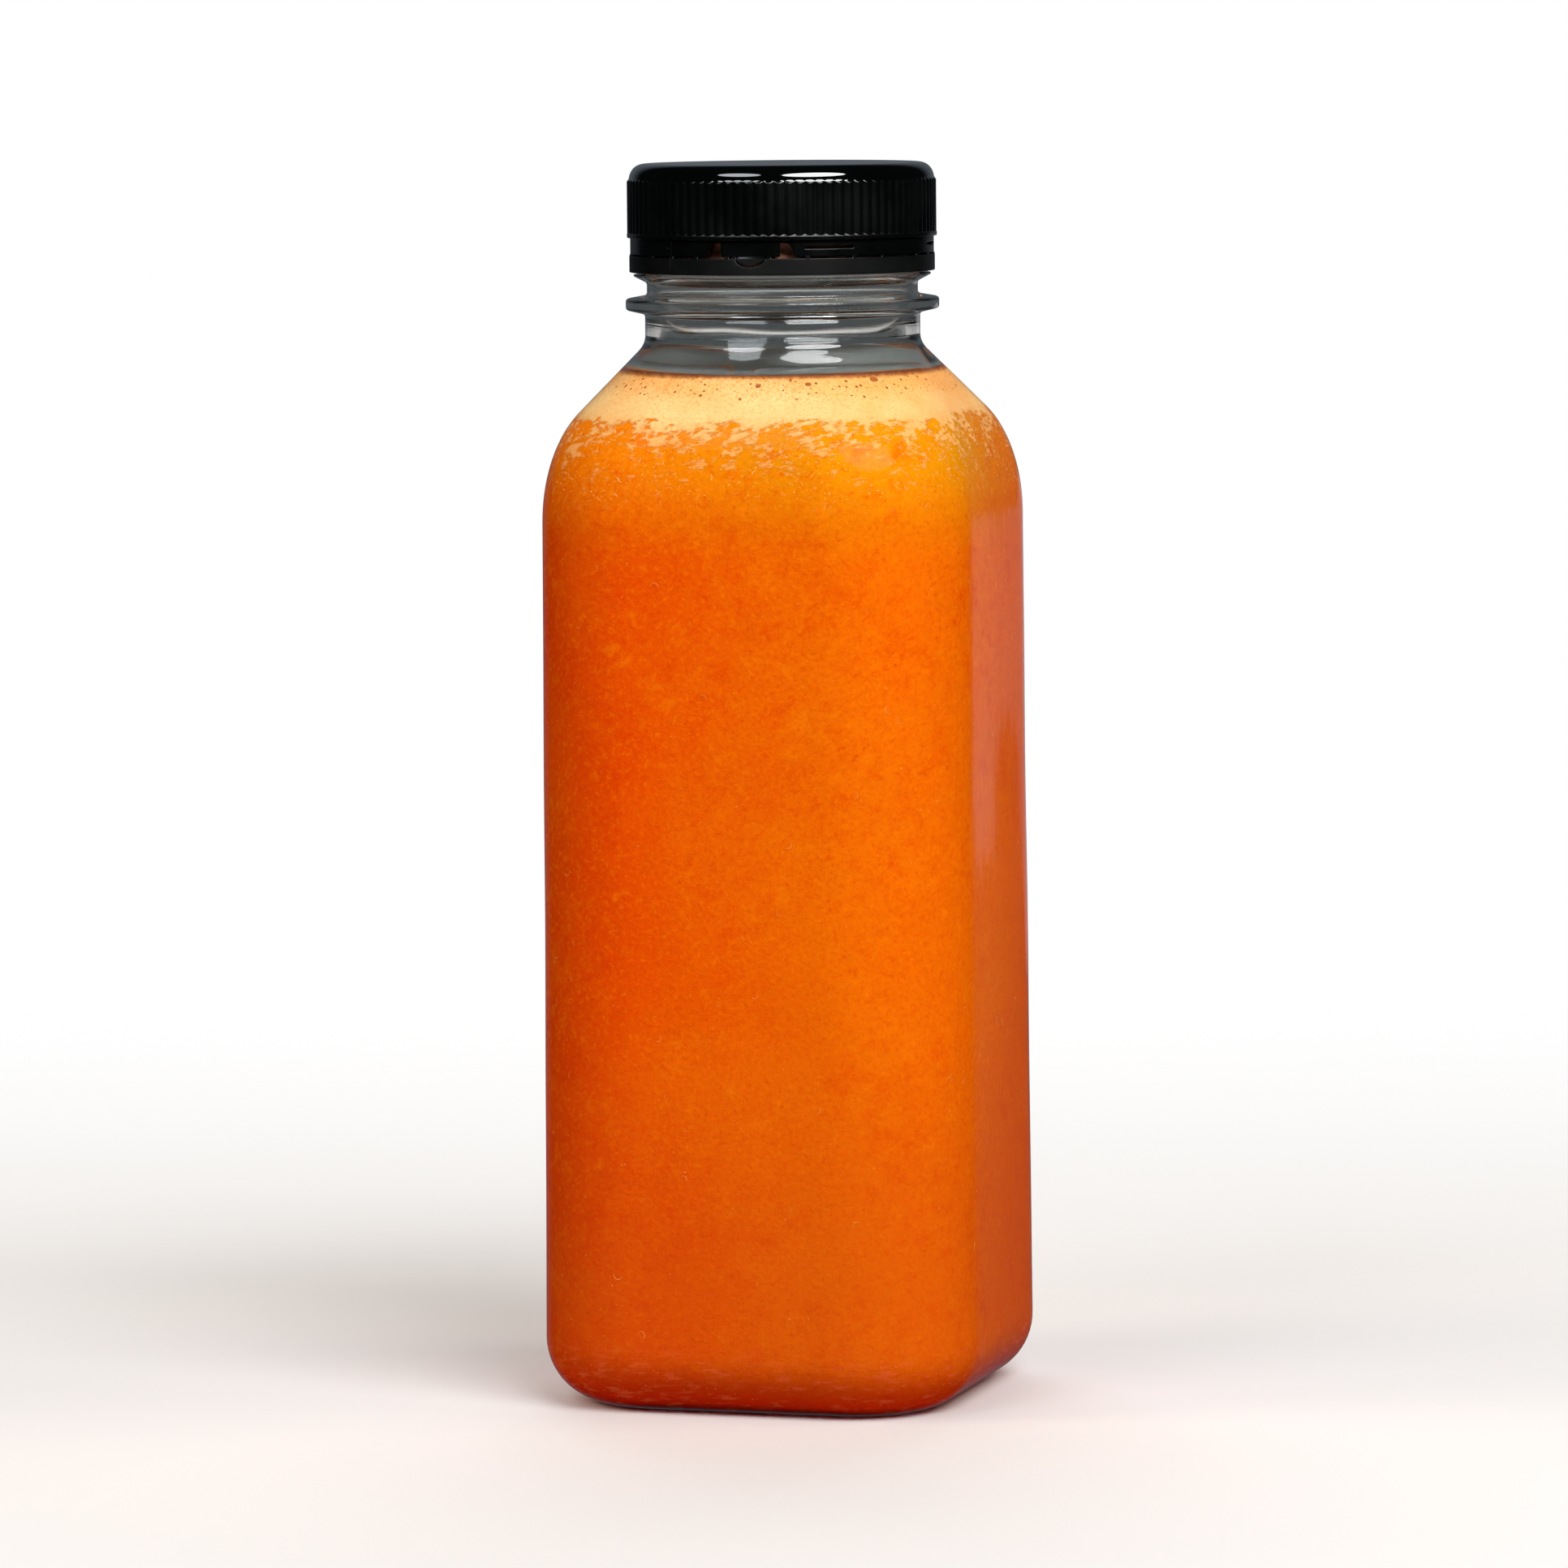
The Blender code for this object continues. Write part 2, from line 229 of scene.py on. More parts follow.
def inset(levels, depth):
    """The same outline moved in by a depth, square to the wall."""
    moved = []
    for k, (half, corner, z) in enumerate(levels):
        before, after = levels[max(k - 1, 0)], levels[min(k + 1, len(levels) - 1)]
        along = Vector((after[0] - before[0], after[2] - before[2])).normalized()
        side, up = along.y * depth, along.x * depth
        moved.append((half - side, max(corner - side, 0.1 * half), z + up))
    return moved


def body_levels():
    """The outside of the bottle from the recess to the top of the shoulder."""
    return foot_levels() + side_levels() + shoulder_levels()


def column_angles(corner_steps=24, side_steps=16):
    """Directions of the points round the bottle, closer together on the corners."""
    straight = BODY_HALF_AT_SHOULDER - BODY_CORNER_R
    corner_start = math.atan2(straight, BODY_HALF_AT_SHOULDER)
    angles = []
    for side in range(4):
        turn = math.radians(90 * side)
        angles += [turn + corner_start * (2 * share - 1) for share in spread(side_steps)[1:-1]]
        for share in spread(corner_steps):
            bend = math.radians(90) * share
            x = straight + BODY_CORNER_R * math.cos(bend)
            y = straight + BODY_CORNER_R * math.sin(bend)
            angles.append(turn + math.atan2(y, x))
    return angles


def sink(angle, z):
    """How far the thin wall sinks in: a shallow dent on the right side and faint waves."""
    from_right = angle if angle < math.pi else angle - 2 * math.pi
    toward_right = math.exp(-((from_right / DENT_WIDTH_ANGLE) ** 2))
    dent = DENT_DEPTH * toward_right * math.exp(-(((z - DENT_Z) / DENT_HEIGHT) ** 2))
    wave = math.sin(2 * angle + z / (9 * MM)) * math.sin(3 * angle - z / (23 * MM))
    on_sides = max(0.0, math.sin(math.pi * min(max(z / SHOULDER_START_Z, 0.0), 1.0)))
    return dent + WAVE_DEPTH * (1 + wave) * on_sides


def neck_sink(angle, half, z):
    """How uneven the inside of the neck is, where the plastic was blown."""
    if half > NECK_R - 0.2 * MM or z < FLARE_FOOT_Z:
        return 0.0
    wobble = math.sin(4 * angle + z / (1.7 * MM)) + math.sin(7 * angle - z / (2.9 * MM))
    fade = min((145.5 * MM - z) / (1.5 * MM), (z - FLARE_FOOT_Z) / (1.5 * MM), 1.0)
    return INNER_WAVE * wobble * max(0.0, fade)


def outline_point(angle, level):
    """A point of the bottle's outline in one direction."""
    half, corner, z = level
    c, s = sorted((abs(math.cos(angle)), abs(math.sin(angle))), reverse=True)
    straight = half - corner
    if half * s / c <= straight:
        distance = half / c
    else:
        bulge = corner**2 - straight**2 * (1 - 2 * c * s)
        distance = straight * (c + s) + math.sqrt(bulge)
    distance -= sink(angle, z) + neck_sink(angle, half, z)
    return (distance * math.cos(angle), distance * math.sin(angle), z)


def skin(mesh, levels, closed=True):
    """Faces through rings of points, from the first to the last, shut at both ends if closed."""
    angles = column_angles()
    rings = [[mesh.verts.new(outline_point(a, level)) for a in angles] for level in levels]
    for low, high in zip(rings, rings[1:]):
        for k in range(len(angles)):
            n = (k + 1) % len(angles)
            mesh.faces.new((low[k], low[n], high[n], high[k]))
    if not closed:
        return
    for ring in (rings[0][::-1], rings[-1]):
        centre = mesh.verts.new((0, 0, ring[0].co.z))
        for k, point in enumerate(ring):
            mesh.faces.new((point, ring[(k + 1) % len(ring)], centre))


def piece_from(name, mesh, material, sharp_angle=40):
    """A finished object at the origin, shaded smooth, with its material."""
    data = bpy.data.meshes.new(name)
    mesh.to_mesh(data)
    mesh.free()
    data.shade_smooth()
    data.set_sharp_from_angle(angle=math.radians(sharp_angle))
    data.materials.append(material)
    return in_scene(name, data)


def new_material(name):
    """A material with an empty node tree, its tree and its output."""
    material = bpy.data.materials.new(name)
    material.use_nodes = True
    material.node_tree.nodes.clear()
    return material, material.node_tree, material.node_tree.nodes.new("ShaderNodeOutputMaterial")


def add(tree, kind, inputs=None, **settings):
    """A node, with its settings, and its inputs as values or as the outputs that feed them."""
    made = tree.nodes.new(kind)
    for name, value in settings.items():
        setattr(made, name, value)
    for name, value in (inputs or {}).items():
        if isinstance(value, bpy.types.NodeSocket):
            tree.links.new(value, made.inputs[name])
        else:
            made.inputs[name].default_value = value
    return made


def coordinates(tree):
    """The object's own coordinates."""
    return add(tree, "ShaderNodeTexCoord").outputs["Object"]


def position(tree, stretch=(1, 1, 1)):
    """The object's own coordinates, stretched."""
    inputs = {"Vector": coordinates(tree), "Scale": stretch}
    return add(tree, "ShaderNodeMapping", inputs).outputs["Vector"]


def across(tree, axis="X"):
    """The distance from the middle towards the right side, or along another axis."""
    return add(tree, "ShaderNodeSeparateXYZ", {"Vector": coordinates(tree)}).outputs[axis]


def height(tree):
    """The height above the surface that the bottle stands on."""
    return across(tree, "Z")


def noise(tree, size, detail=4.0, roughness=0.55, stretch=(1, 1, 1)):
    """Cloudy noise whose features have a real size."""
    inputs = {"Vector": position(tree, stretch), "Scale": 1 / size}
    inputs.update({"Detail": detail, "Roughness": roughness})
    return add(tree, "ShaderNodeTexNoise", inputs).outputs["Fac"]


def ramp(tree, value, start, end, low=0.0, high=1.0):
    """A smooth step of a value from start to end."""
    inputs = {"Value": value, "From Min": start, "From Max": end, "To Min": low, "To Max": high}
    step = add(tree, "ShaderNodeMapRange", inputs, interpolation_type="SMOOTHSTEP")
    return step.outputs["Result"]


def mixed(tree, share, first, second):
    """One colour over another."""
    made = add(tree, "ShaderNodeMix", data_type="RGBA")
    for name, value in (("Factor_Float", share), ("A_Color", first), ("B_Color", second)):
        socket = next(s for s in made.inputs if s.identifier == name)
        if isinstance(value, bpy.types.NodeSocket):
            tree.links.new(value, socket)
        else:
            socket.default_value = (*value, 1.0) if isinstance(value, tuple) else value
    return next(s for s in made.outputs if s.identifier == "Result_Color")


def bump(tree, value, strength, depth):
    """A bump of a real depth."""
    inputs = {"Height": value, "Strength": strength, "Distance": depth}
    return add(tree, "ShaderNodeBump", inputs).outputs["Normal"]


def clear_plastic():
    """Clear plastic with faint flow waves and fine scuffs; lamp light passes through it.

    The neck is bright and glossy. The body, against the juice, shows hardly any gloss.
    """
    material, tree, output = new_material("clear_plastic")
    waves = noise(tree, 9 * MM, detail=2.0, stretch=(1, 1, 0.35))
    scuffs = noise(tree, 0.8 * MM, detail=5.0, roughness=0.7)
    inputs = {
        "Base Color": mixed(tree, waves, (0.90, 0.935, 0.935), (0.95, 0.965, 0.96)),
        "Roughness": ramp(tree, scuffs, 0.35, 0.75, 0.03, 0.09),
        "Normal": bump(tree, waves, 0.06, 0.25 * MM),
        "IOR": PLASTIC_IOR,
        "Transmission Weight": 1.0,
    }
    neck = add(tree, "ShaderNodeBsdfPrincipled", inputs)
    inputs["Roughness"] = ramp(tree, scuffs, 0.35, 0.75, 0.05, 0.14)
    inputs["Normal"] = bump(tree, waves, 0.25, 0.25 * MM)
    body = add(tree, "ShaderNodeBsdfPrincipled", {**inputs, "IOR": WETTED_IOR})
    up = ramp(tree, height(tree), FOAM_LEVEL_Z, FOAM_LEVEL_Z + 1.0 * MM)
    shell = add(tree, "ShaderNodeMixShader", {0: up, 1: body.outputs[0], 2: neck.outputs[0]})
    passing = add(tree, "ShaderNodeBsdfTransparent", {"Color": (0.93, 0.95, 0.95, 1.0)})
    shadow = add(tree, "ShaderNodeLightPath").outputs["Is Shadow Ray"]
    inputs = {0: shadow, 1: shell.outputs[0], 2: passing.outputs[0]}
    glass = add(tree, "ShaderNodeMixShader", inputs)
    tree.links.new(glass.outputs["Shader"], output.inputs["Surface"])
    return material


def add_bottle():
    """The clear shell: up the outside, over the mouth and down the inside."""
    mesh = bmesh.new()
    inside = [level for level in inset(body_levels(), WALL) if level[2] < FLARE_FOOT_Z - 0.2 * MM]
    skin(mesh, body_levels() + neck_path() + inside[::-1])
    bottle = piece_from("bottle_shell", mesh, clear_plastic())
    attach(bottle, "root")
    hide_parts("bottle")


add_bottle()


# The juice
# Thick orange vegetable juice with pulp. It fills the bottle up to the foam and reaches just
# into the wall. Shreds of foam cling to the wall below the foam.
JUICE_TOP_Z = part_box("juice")[1][2]
FILL_DEPTH = 0.65 * MM
FOAM_EDGE_Z = 132.9 * MM
LOWEST_SHRED_Z = 123.0 * MM
FOAM_PALE = (0.64, 0.435, 0.185)
FOAM_WARM = (0.66, 0.300, 0.085)
FOAM_GRAIN = (0.60, 0.235, 0.040)
FOAM_SHRED = (0.78, 0.370, 0.110)
FOAM_SPECK = (0.40, 0.120, 0.015)
# Painted shade on the juice's left side and painted light on its right side.
JUICE_LEFT_PAINTED_SHADE = (0.66, 0.048, 0.0006)
JUICE_RIGHT_PAINTED_LIGHT = (0.73, 0.115, 0.0008)
JUICE_LIGHT = (0.80, 0.175, 0.0020)
JUICE_DEEP = (0.62, 0.030, 0.0006)
JUICE_SHADED = (0.50, 0.050, 0.0006)
JUICE_SETTLED = (0.75, 0.105, 0.030)
# Painted light on the shoulder, lighter and yellower, with less of it on the left.
JUICE_SHOULDER_PAINTED_LIGHT = (0.60, 0.225, 0.0015)
JUICE_SHOULDER_LEFT_PAINTED_LIGHT = (0.66, 0.150, 0.0015)
# Painted shade lower down, with a faint bluish painted reflection.
JUICE_LOW_PAINTED_SHADE_AND_REFLECTION = (0.50, 0.050, 0.0040)
# Painted shade at the heel, deeper red, where it faces down away from the lamps.
JUICE_HEEL_PAINTED_SHADE = (0.68, 0.008, 0.001)


def level_at(levels, z):
    """The outline at one height, between the two levels next to it."""
    for low, high in zip(levels, levels[1:]):
        if low[2] <= z < high[2]:
            share = (z - low[2]) / (high[2] - low[2])
            half, corner = (a + (b - a) * share for a, b in zip(low[:2], high[:2]))
            return (half, corner, z)


def math_node(tree, operation, first, second):
    """One step of arithmetic."""
    made = add(tree, "ShaderNodeMath", {0: first, 1: second}, operation=operation)
    return made.outputs["Value"]


def times(tree, first, second):
    """A product."""
    return math_node(tree, "MULTIPLY", first, second)


def plus(tree, first, second):
    """A sum."""
    return math_node(tree, "ADD", first, second)


def surface(tree, output, inputs):
    """The usual shader, joined to the material's output."""
    shader = add(tree, "ShaderNodeBsdfPrincipled", inputs)
    tree.links.new(shader.outputs["BSDF"], output.inputs["Surface"])


def foam_colour(tree):
    """Cream foam, warmer in places and near its top, with fine dark specks."""
    cloud = ramp(tree, noise(tree, 6 * MM, detail=3.0), 0.35, 0.7)
    up = ramp(tree, height(tree), 134.0 * MM, 137.5 * MM, 0.0, 0.55)
    warmth = plus(tree, times(tree, cloud, 0.45), up)
    right = ramp(tree, across(tree), 6 * MM, 24 * MM, 0.0, 0.5)
    warmth = plus(tree, warmth, right)
    cream = mixed(tree, warmth, FOAM_PALE, FOAM_WARM)
    grain = ramp(tree, noise(tree, 0.45 * MM, detail=3.0, roughness=0.8), 0.48, 0.62, 0.0, 0.80)
    upper = ramp(tree, height(tree), 133.0 * MM, 136.5 * MM, 0.45, 1.0)
    cream = mixed(tree, times(tree, grain, upper), cream, FOAM_GRAIN)
    inputs = {"Vector": position(tree), "Scale": 1 / (0.42 * MM)}
    cells = add(tree, "ShaderNodeTexVoronoi", inputs, feature="F1").outputs["Distance"]
    specks = ramp(tree, cells, 0.12, 0.30, 0.85, 0.0)
    patchy = ramp(tree, noise(tree, 1.8 * MM, detail=2.0), 0.44, 0.60)
    share = times(tree, specks, patchy)
    share = times(tree, share, ramp(tree, height(tree), 133.5 * MM, 136 * MM))
    return mixed(tree, share, cream, FOAM_SPECK)


def shreds(tree, size, lean, stretch):
    """Ragged streaks that lean a little, for torn foam and for blotches and pulp in the juice."""
    inputs = {"Vector": coordinates(tree), "Rotation": (0, lean, 0)}
    leaning = add(tree, "ShaderNodeMapping", inputs).outputs["Vector"]
    inputs = {"Vector": leaning, "Scale": stretch}
    place = add(tree, "ShaderNodeMapping", inputs).outputs["Vector"]
    inputs = {"Vector": place, "Scale": 1 / size, "Detail": 8.0}
    inputs.update({"Roughness": 0.66, "Distortion": 0.15})
    return add(tree, "ShaderNodeTexNoise", inputs).outputs["Fac"]


def foam_cover(tree):
    """Where foam covers the wall: all over above its edge, in ragged shreds below it."""
    torn = shreds(tree, 0.85 * MM, 0.22, (0.6, 0.6, 1.4))
    wander = ramp(tree, noise(tree, 3.4 * MM, detail=2.0), 0.3, 0.7, -0.09, 0.09)
    inputs = {"Value": height(tree), "From Min": LOWEST_SHRED_Z, "From Max": FOAM_EDGE_Z}
    falling = add(tree, "ShaderNodeMapRange", {**inputs, "To Min": 0.64, "To Max": 0.42})
    above = ramp(tree, height(tree), FOAM_EDGE_Z - 1.6 * MM, FOAM_EDGE_Z + 1.1 * MM, 0.0, 0.45)
    share = plus(tree, plus(tree, torn, wander), above)
    cover = ramp(tree, math_node(tree, "SUBTRACT", share, falling.outputs[0]), -0.03, 0.10)
    thin = ramp(tree, height(tree), LOWEST_SHRED_Z - 1 * MM, FOAM_EDGE_Z, 0.35, 1.0)
    end = ramp(tree, height(tree), LOWEST_SHRED_Z - 4 * MM, LOWEST_SHRED_Z)
    return times(tree, times(tree, cover, thin), end)


def juice_colour(tree):
    """Orange with soft deep blotches and fine pulp in many sizes, and painted light and shade."""
    # Painted shade on the left and painted light on the right.
    side = ramp(tree, across(tree), -27 * MM, 22 * MM)
    colour = mixed(tree, side, JUICE_LEFT_PAINTED_SHADE, JUICE_RIGHT_PAINTED_LIGHT)
    clouds = ramp(tree, noise(tree, 22 * MM, detail=3.0), 0.35, 0.68, 0.0, 0.25)
    colour = mixed(tree, clouds, colour, JUICE_LIGHT)
    # Painted light on the shoulder, where it faces the lamps above.
    shoulder = ramp(tree, height(tree), 112 * MM, 130 * MM)
    painted_shoulder_light = mixed(tree, side, JUICE_SHOULDER_LEFT_PAINTED_LIGHT, JUICE_SHOULDER_PAINTED_LIGHT)
    colour = mixed(tree, shoulder, colour, painted_shoulder_light)
    blotches = shreds(tree, 3.4 * MM, 0.5, (1, 1, 1.3))
    gathered = ramp(tree, noise(tree, 16 * MM, detail=2.0), 0.35, 0.62)
    dark = times(tree, ramp(tree, blotches, 0.45, 0.75, 0.0, 0.55), gathered)
    colour = mixed(tree, dark, colour, JUICE_DEEP)
    colour = mixed(tree, ramp(tree, blotches, 0.46, 0.26, 0.0, 0.50), colour, JUICE_LIGHT)
    pulp = noise(tree, 0.8 * MM, detail=6.0, roughness=0.8)
    colour = mixed(tree, ramp(tree, pulp, 0.51, 0.68, 0.0, 0.55), colour, JUICE_LIGHT)
    colour = mixed(tree, ramp(tree, pulp, 0.49, 0.32, 0.0, 0.50), colour, JUICE_DEEP)
    streaks = shreds(tree, 1.4 * MM, 0.62, (0.55, 0.55, 1.6))
    zones = ramp(tree, noise(tree, 19 * MM, detail=1.0), 0.42, 0.62)
    zones = times(tree, zones, ramp(tree, height(tree), 25 * MM, 60 * MM, 0.3, 1.0))
    pale = times(tree, ramp(tree, streaks, 0.54, 0.72, 0.0, 0.60), zones)
    deep = times(tree, ramp(tree, streaks, 0.45, 0.28, 0.0, 0.60), zones)
    colour = mixed(tree, pale, colour, JUICE_LIGHT)
    colour = mixed(tree, deep, colour, JUICE_DEEP)
    # Painted shade lower down, with a faint bluish painted reflection.
    colour = mixed(tree, ramp(tree, height(tree), 60 * MM, 8 * MM, 0.0, 0.45), colour, JUICE_LOW_PAINTED_SHADE_AND_REFLECTION)
    shaded = ramp(tree, across(tree, "Y"), -14 * MM, 16 * MM, 0.0, 0.55)
    colour = mixed(tree, shaded, colour, JUICE_SHADED)
    # Painted shade at the heel.
    colour = mixed(tree, ramp(tree, height(tree), 8 * MM, 0, 0.0, 0.9), colour, JUICE_HEEL_PAINTED_SHADE)
    settled = shreds(tree, 1.1 * MM, 0.06, (0.35, 0.35, 1.5))
    low = ramp(tree, height(tree), 11 * MM, 5 * MM, 0.0, 0.75)
    settled = times(tree, ramp(tree, settled, 0.50, 0.66), low)
    return mixed(tree, settled, colour, JUICE_SETTLED)


def juice_material():
    """Juice against the wall, so it has no gloss of its own."""
    material, tree, output = new_material("juice")
    cover = foam_cover(tree)
    below = ramp(tree, height(tree), FOAM_EDGE_Z + 0.5 * MM, FOAM_EDGE_Z - 4 * MM)
    shredded = mixed(tree, below, foam_colour(tree), FOAM_SHRED)
    colour = mixed(tree, cover, juice_colour(tree), shredded)
    pulp = noise(tree, 0.7 * MM, detail=6.0, roughness=0.72)
    lumps = plus(tree, pulp, times(tree, cover, 0.6))
    inputs = {
        "Base Color": colour,
        "Roughness": 0.9,
        "Specular IOR Level": 0.0,
        "Normal": bump(tree, lumps, 0.7, 0.30 * MM),
    }
    surface(tree, output, inputs)
    return material


def add_juice():
    """The drink up to the foam."""
    mesh = bmesh.new()
    inside = inset(body_levels(), FILL_DEPTH)
    levels = [level for level in inside if level[2] < JUICE_TOP_Z]
    skin(mesh, levels + [level_at(inside, JUICE_TOP_Z)])
    juice = piece_from("juice_fill", mesh, juice_material())
    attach(juice, "root")
    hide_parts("juice")


add_juice()


# The foam
# A layer of froth on the juice. Its top is a little lower in the middle than at the wall, and
# it has dried to a thin brown line along the wall.
FOAM_TOP_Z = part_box("foam")[1][2]
FOAM_SAG = 0.5 * MM
FOAM_SAG_WIDTH = 0.12
FOAM_TOP_REACH = 20.3 * MM
FOAM_LINE = (0.1620, 0.02732, 0.00518)
# Painted shade on the foam's top, which the cap shades.
FOAM_TOP_PAINTED_SHADE = (0.175, 0.180, 0.172)


def foam_material():
    """Cream froth with a brown line at the wall, and painted shade on its uneven top."""
    material, tree, output = new_material("foam")
    colour = mixed(tree, foam_cover(tree), juice_colour(tree), foam_colour(tree))
    ragged = times(tree, noise(tree, 0.7 * MM), 0.5 * MM)
    top = plus(tree, height(tree), ragged)
    line = ramp(tree, top, FOAM_TOP_Z - 0.45 * MM, FOAM_TOP_Z + 0.22 * MM, 0.0, 0.95)
    colour = mixed(tree, line, colour, FOAM_LINE)
    inputs = {0: coordinates(tree), 1: (1, 1, 0)}
    flat = add(tree, "ShaderNodeVectorMath", inputs, operation="MULTIPLY")
    reach = add(tree, "ShaderNodeVectorMath", {0: flat.outputs[0]}, operation="LENGTH")
    # Painted shade on the top, away from the wall, with brown patches in it.
    inner = ramp(tree, reach.outputs["Value"], FOAM_TOP_REACH, FOAM_TOP_REACH - 0.8 * MM)
    patches = ramp(tree, noise(tree, 2.4 * MM), 0.55, 0.75, 0.0, 0.2)
    dark = mixed(tree, patches, FOAM_TOP_PAINTED_SHADE, FOAM_LINE)
    froth = noise(tree, 0.5 * MM, detail=3.0)
    inputs = {
        "Base Color": mixed(tree, inner, colour, dark),
        "Roughness": 0.8,
        "Specular IOR Level": 0.1,
        "Normal": bump(tree, froth, 0.4, 0.2 * MM),
    }
    surface(tree, output, inputs)
    return material


def add_foam():
    """The layer of foam from the juice up to its sagging top."""
    mesh = bmesh.new()
    inside = inset(body_levels(), FILL_DEPTH)
    levels = [level_at(inside, JUICE_TOP_Z)]
    levels += [level for level in inside if JUICE_TOP_Z < level[2] < FOAM_TOP_Z]
    rim = level_at(inside, FOAM_TOP_Z)
    levels.append(rim)
    for share in spread(6)[1:]:
        z = FOAM_TOP_Z - FOAM_SAG * math.sin(math.radians(90) * share)
        inward = 1 - FOAM_SAG_WIDTH * share
        levels.append((rim[0] * inward, rim[1] * inward, z))
    skin(mesh, levels)
    foam = piece_from("foam_layer", mesh, foam_material())
    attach(foam, "root")
    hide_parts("foam")


add_foam()


# The juice film
# A thin dried film of juice round the neck, which shows through the windows of the cap's band.
# It is a closed ring just outside the neck's wall.
FILM_R = 18.42 * MM
FILM_THICKNESS = 0.14 * MM
FILM_FOOT_Z = 150.95 * MM
FILM_TOP_Z = 155.5 * MM


def add_film():
    """A closed thin ring with an uneven brownish red colour."""
    material, tree, output = new_material("juice_film")
    cloud = ramp(tree, noise(tree, 2.5 * MM, stretch=(1, 1, 0.4)), 0.35, 0.65)
    colour = mixed(tree, cloud, (0.70, 0.22, 0.11), (0.85, 0.36, 0.22))
    surface(tree, output, {"Base Color": colour, "Roughness": 0.5})
    inner = FILM_R - FILM_THICKNESS
    path = ((inner, FILM_FOOT_Z), (FILM_R, FILM_FOOT_Z), (FILM_R, FILM_TOP_Z), (inner, FILM_TOP_Z))
    mesh = bmesh.new()
    skin(mesh, [(r, r, z) for r, z in path + path[:1]], closed=False)
    bmesh.ops.remove_doubles(mesh, verts=mesh.verts, dist=0.001 * MM)
    film = piece_from("juice_film", mesh, material)
    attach(film, "root")
    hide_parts("juice")


add_film()


# The pulp and the bubbles
# Specks and curled fibres of pulp lie against the wall all the way down, thicker under the foam
# and at the heel, where short threads and specks cling. Bubbles sit in the foam near its top.
SPECK_DEPTH = 0.62 * MM
SPECK_FLATTENING = (1, 0.42, 0.22)
BUBBLE_FLATTENING = (1.12, 0.9, 0.30)
FIBRE_R = 0.045
FIBRE_TAPER = 0.6
FIBRE_CURL = 1.4


def add_sockets(tree, names):
    """The inputs and the one output of a geometry tree, with its geometry and material."""
    for name, kind in (("Geometry", "Geometry"), *names, ("Material", "Material")):
        tree.interface.new_socket(name, in_out="INPUT", socket_type="NodeSocket" + kind)
    tree.interface.new_socket("Geometry", in_out="OUTPUT", socket_type="NodeSocketGeometry")
    return tree.nodes.new("NodeGroupInput").outputs, tree.nodes.new("NodeGroupOutput").inputs


def real_copies(tree, inputs):
    """Copies of a shape on points, as real geometry."""
    copies = add(tree, "GeometryNodeInstanceOnPoints", inputs).outputs["Instances"]
    return add(tree, "GeometryNodeRealizeInstances", {"Geometry": copies}).outputs["Geometry"]


def finish_tree(tree, geometry, given, result):
    """Gives the geometry its material and sends it out."""
    inputs = {"Geometry": geometry, "Material": given["Material"]}
    finish = add(tree, "GeometryNodeSetMaterial", inputs)
    tree.links.new(finish.outputs["Geometry"], result["Geometry"])
    return tree


def scatter_tree():
    """Geometry nodes: copies of a shape strewn over a wall, flat against it, in mixed sizes."""
    tree = bpy.data.node_groups.new("strewn_copies", "GeometryNodeTree")
    names = (("Shape", "Object"), ("Density", "Float"), ("Smallest", "Float"), ("Largest", "Float"))
    given, result = add_sockets(tree, (*names, ("Seed", "Int")))
    inputs = {"Mesh": given["Geometry"], "Density": given["Density"], "Seed": given["Seed"]}
    points = add(tree, "GeometryNodeDistributePointsOnFaces", inputs)
    inputs = {"Max": 2 * math.pi, "Seed": given["Seed"]}
    spin = add(tree, "FunctionNodeRandomValue", inputs, data_type="FLOAT")
    turn = add(tree, "ShaderNodeCombineXYZ", {"Z": spin.outputs[1]})
    inputs = {"Rotation": points.outputs["Rotation"], "Rotate By": turn.outputs[0]}
    turned = add(tree, "FunctionNodeRotateRotation", inputs, rotation_space="LOCAL")
    inputs = {"Seed": plus(tree, given["Seed"], 100)}
    draw = add(tree, "FunctionNodeRandomValue", inputs, data_type="FLOAT")
    few = math_node(tree, "POWER", draw.outputs[1], 2.5)
    span = math_node(tree, "SUBTRACT", given["Largest"], given["Smallest"])
    size = plus(tree, times(tree, few, span), given["Smallest"])
    shape = add(tree, "GeometryNodeObjectInfo", {"Object": given["Shape"]})
    inputs = {
        "Points": points.outputs["Points"],
        "Instance": shape.outputs["Geometry"],
        "Rotation": turned.outputs["Rotation"],
        "Scale": size,
    }
    return finish_tree(tree, real_copies(tree, inputs), given, result)


def flat_ball(subdivisions, flattening):
    """A ball one unit across, flattened against the wall."""
    mesh = bmesh.new()
    bmesh.ops.create_icosphere(mesh, subdivisions=subdivisions, radius=0.5)
    bmesh.ops.scale(mesh, verts=mesh.verts, vec=flattening)
    return mesh


def speck_shape():
    """A flat speck one unit long."""
    return flat_ball(1, SPECK_FLATTENING)


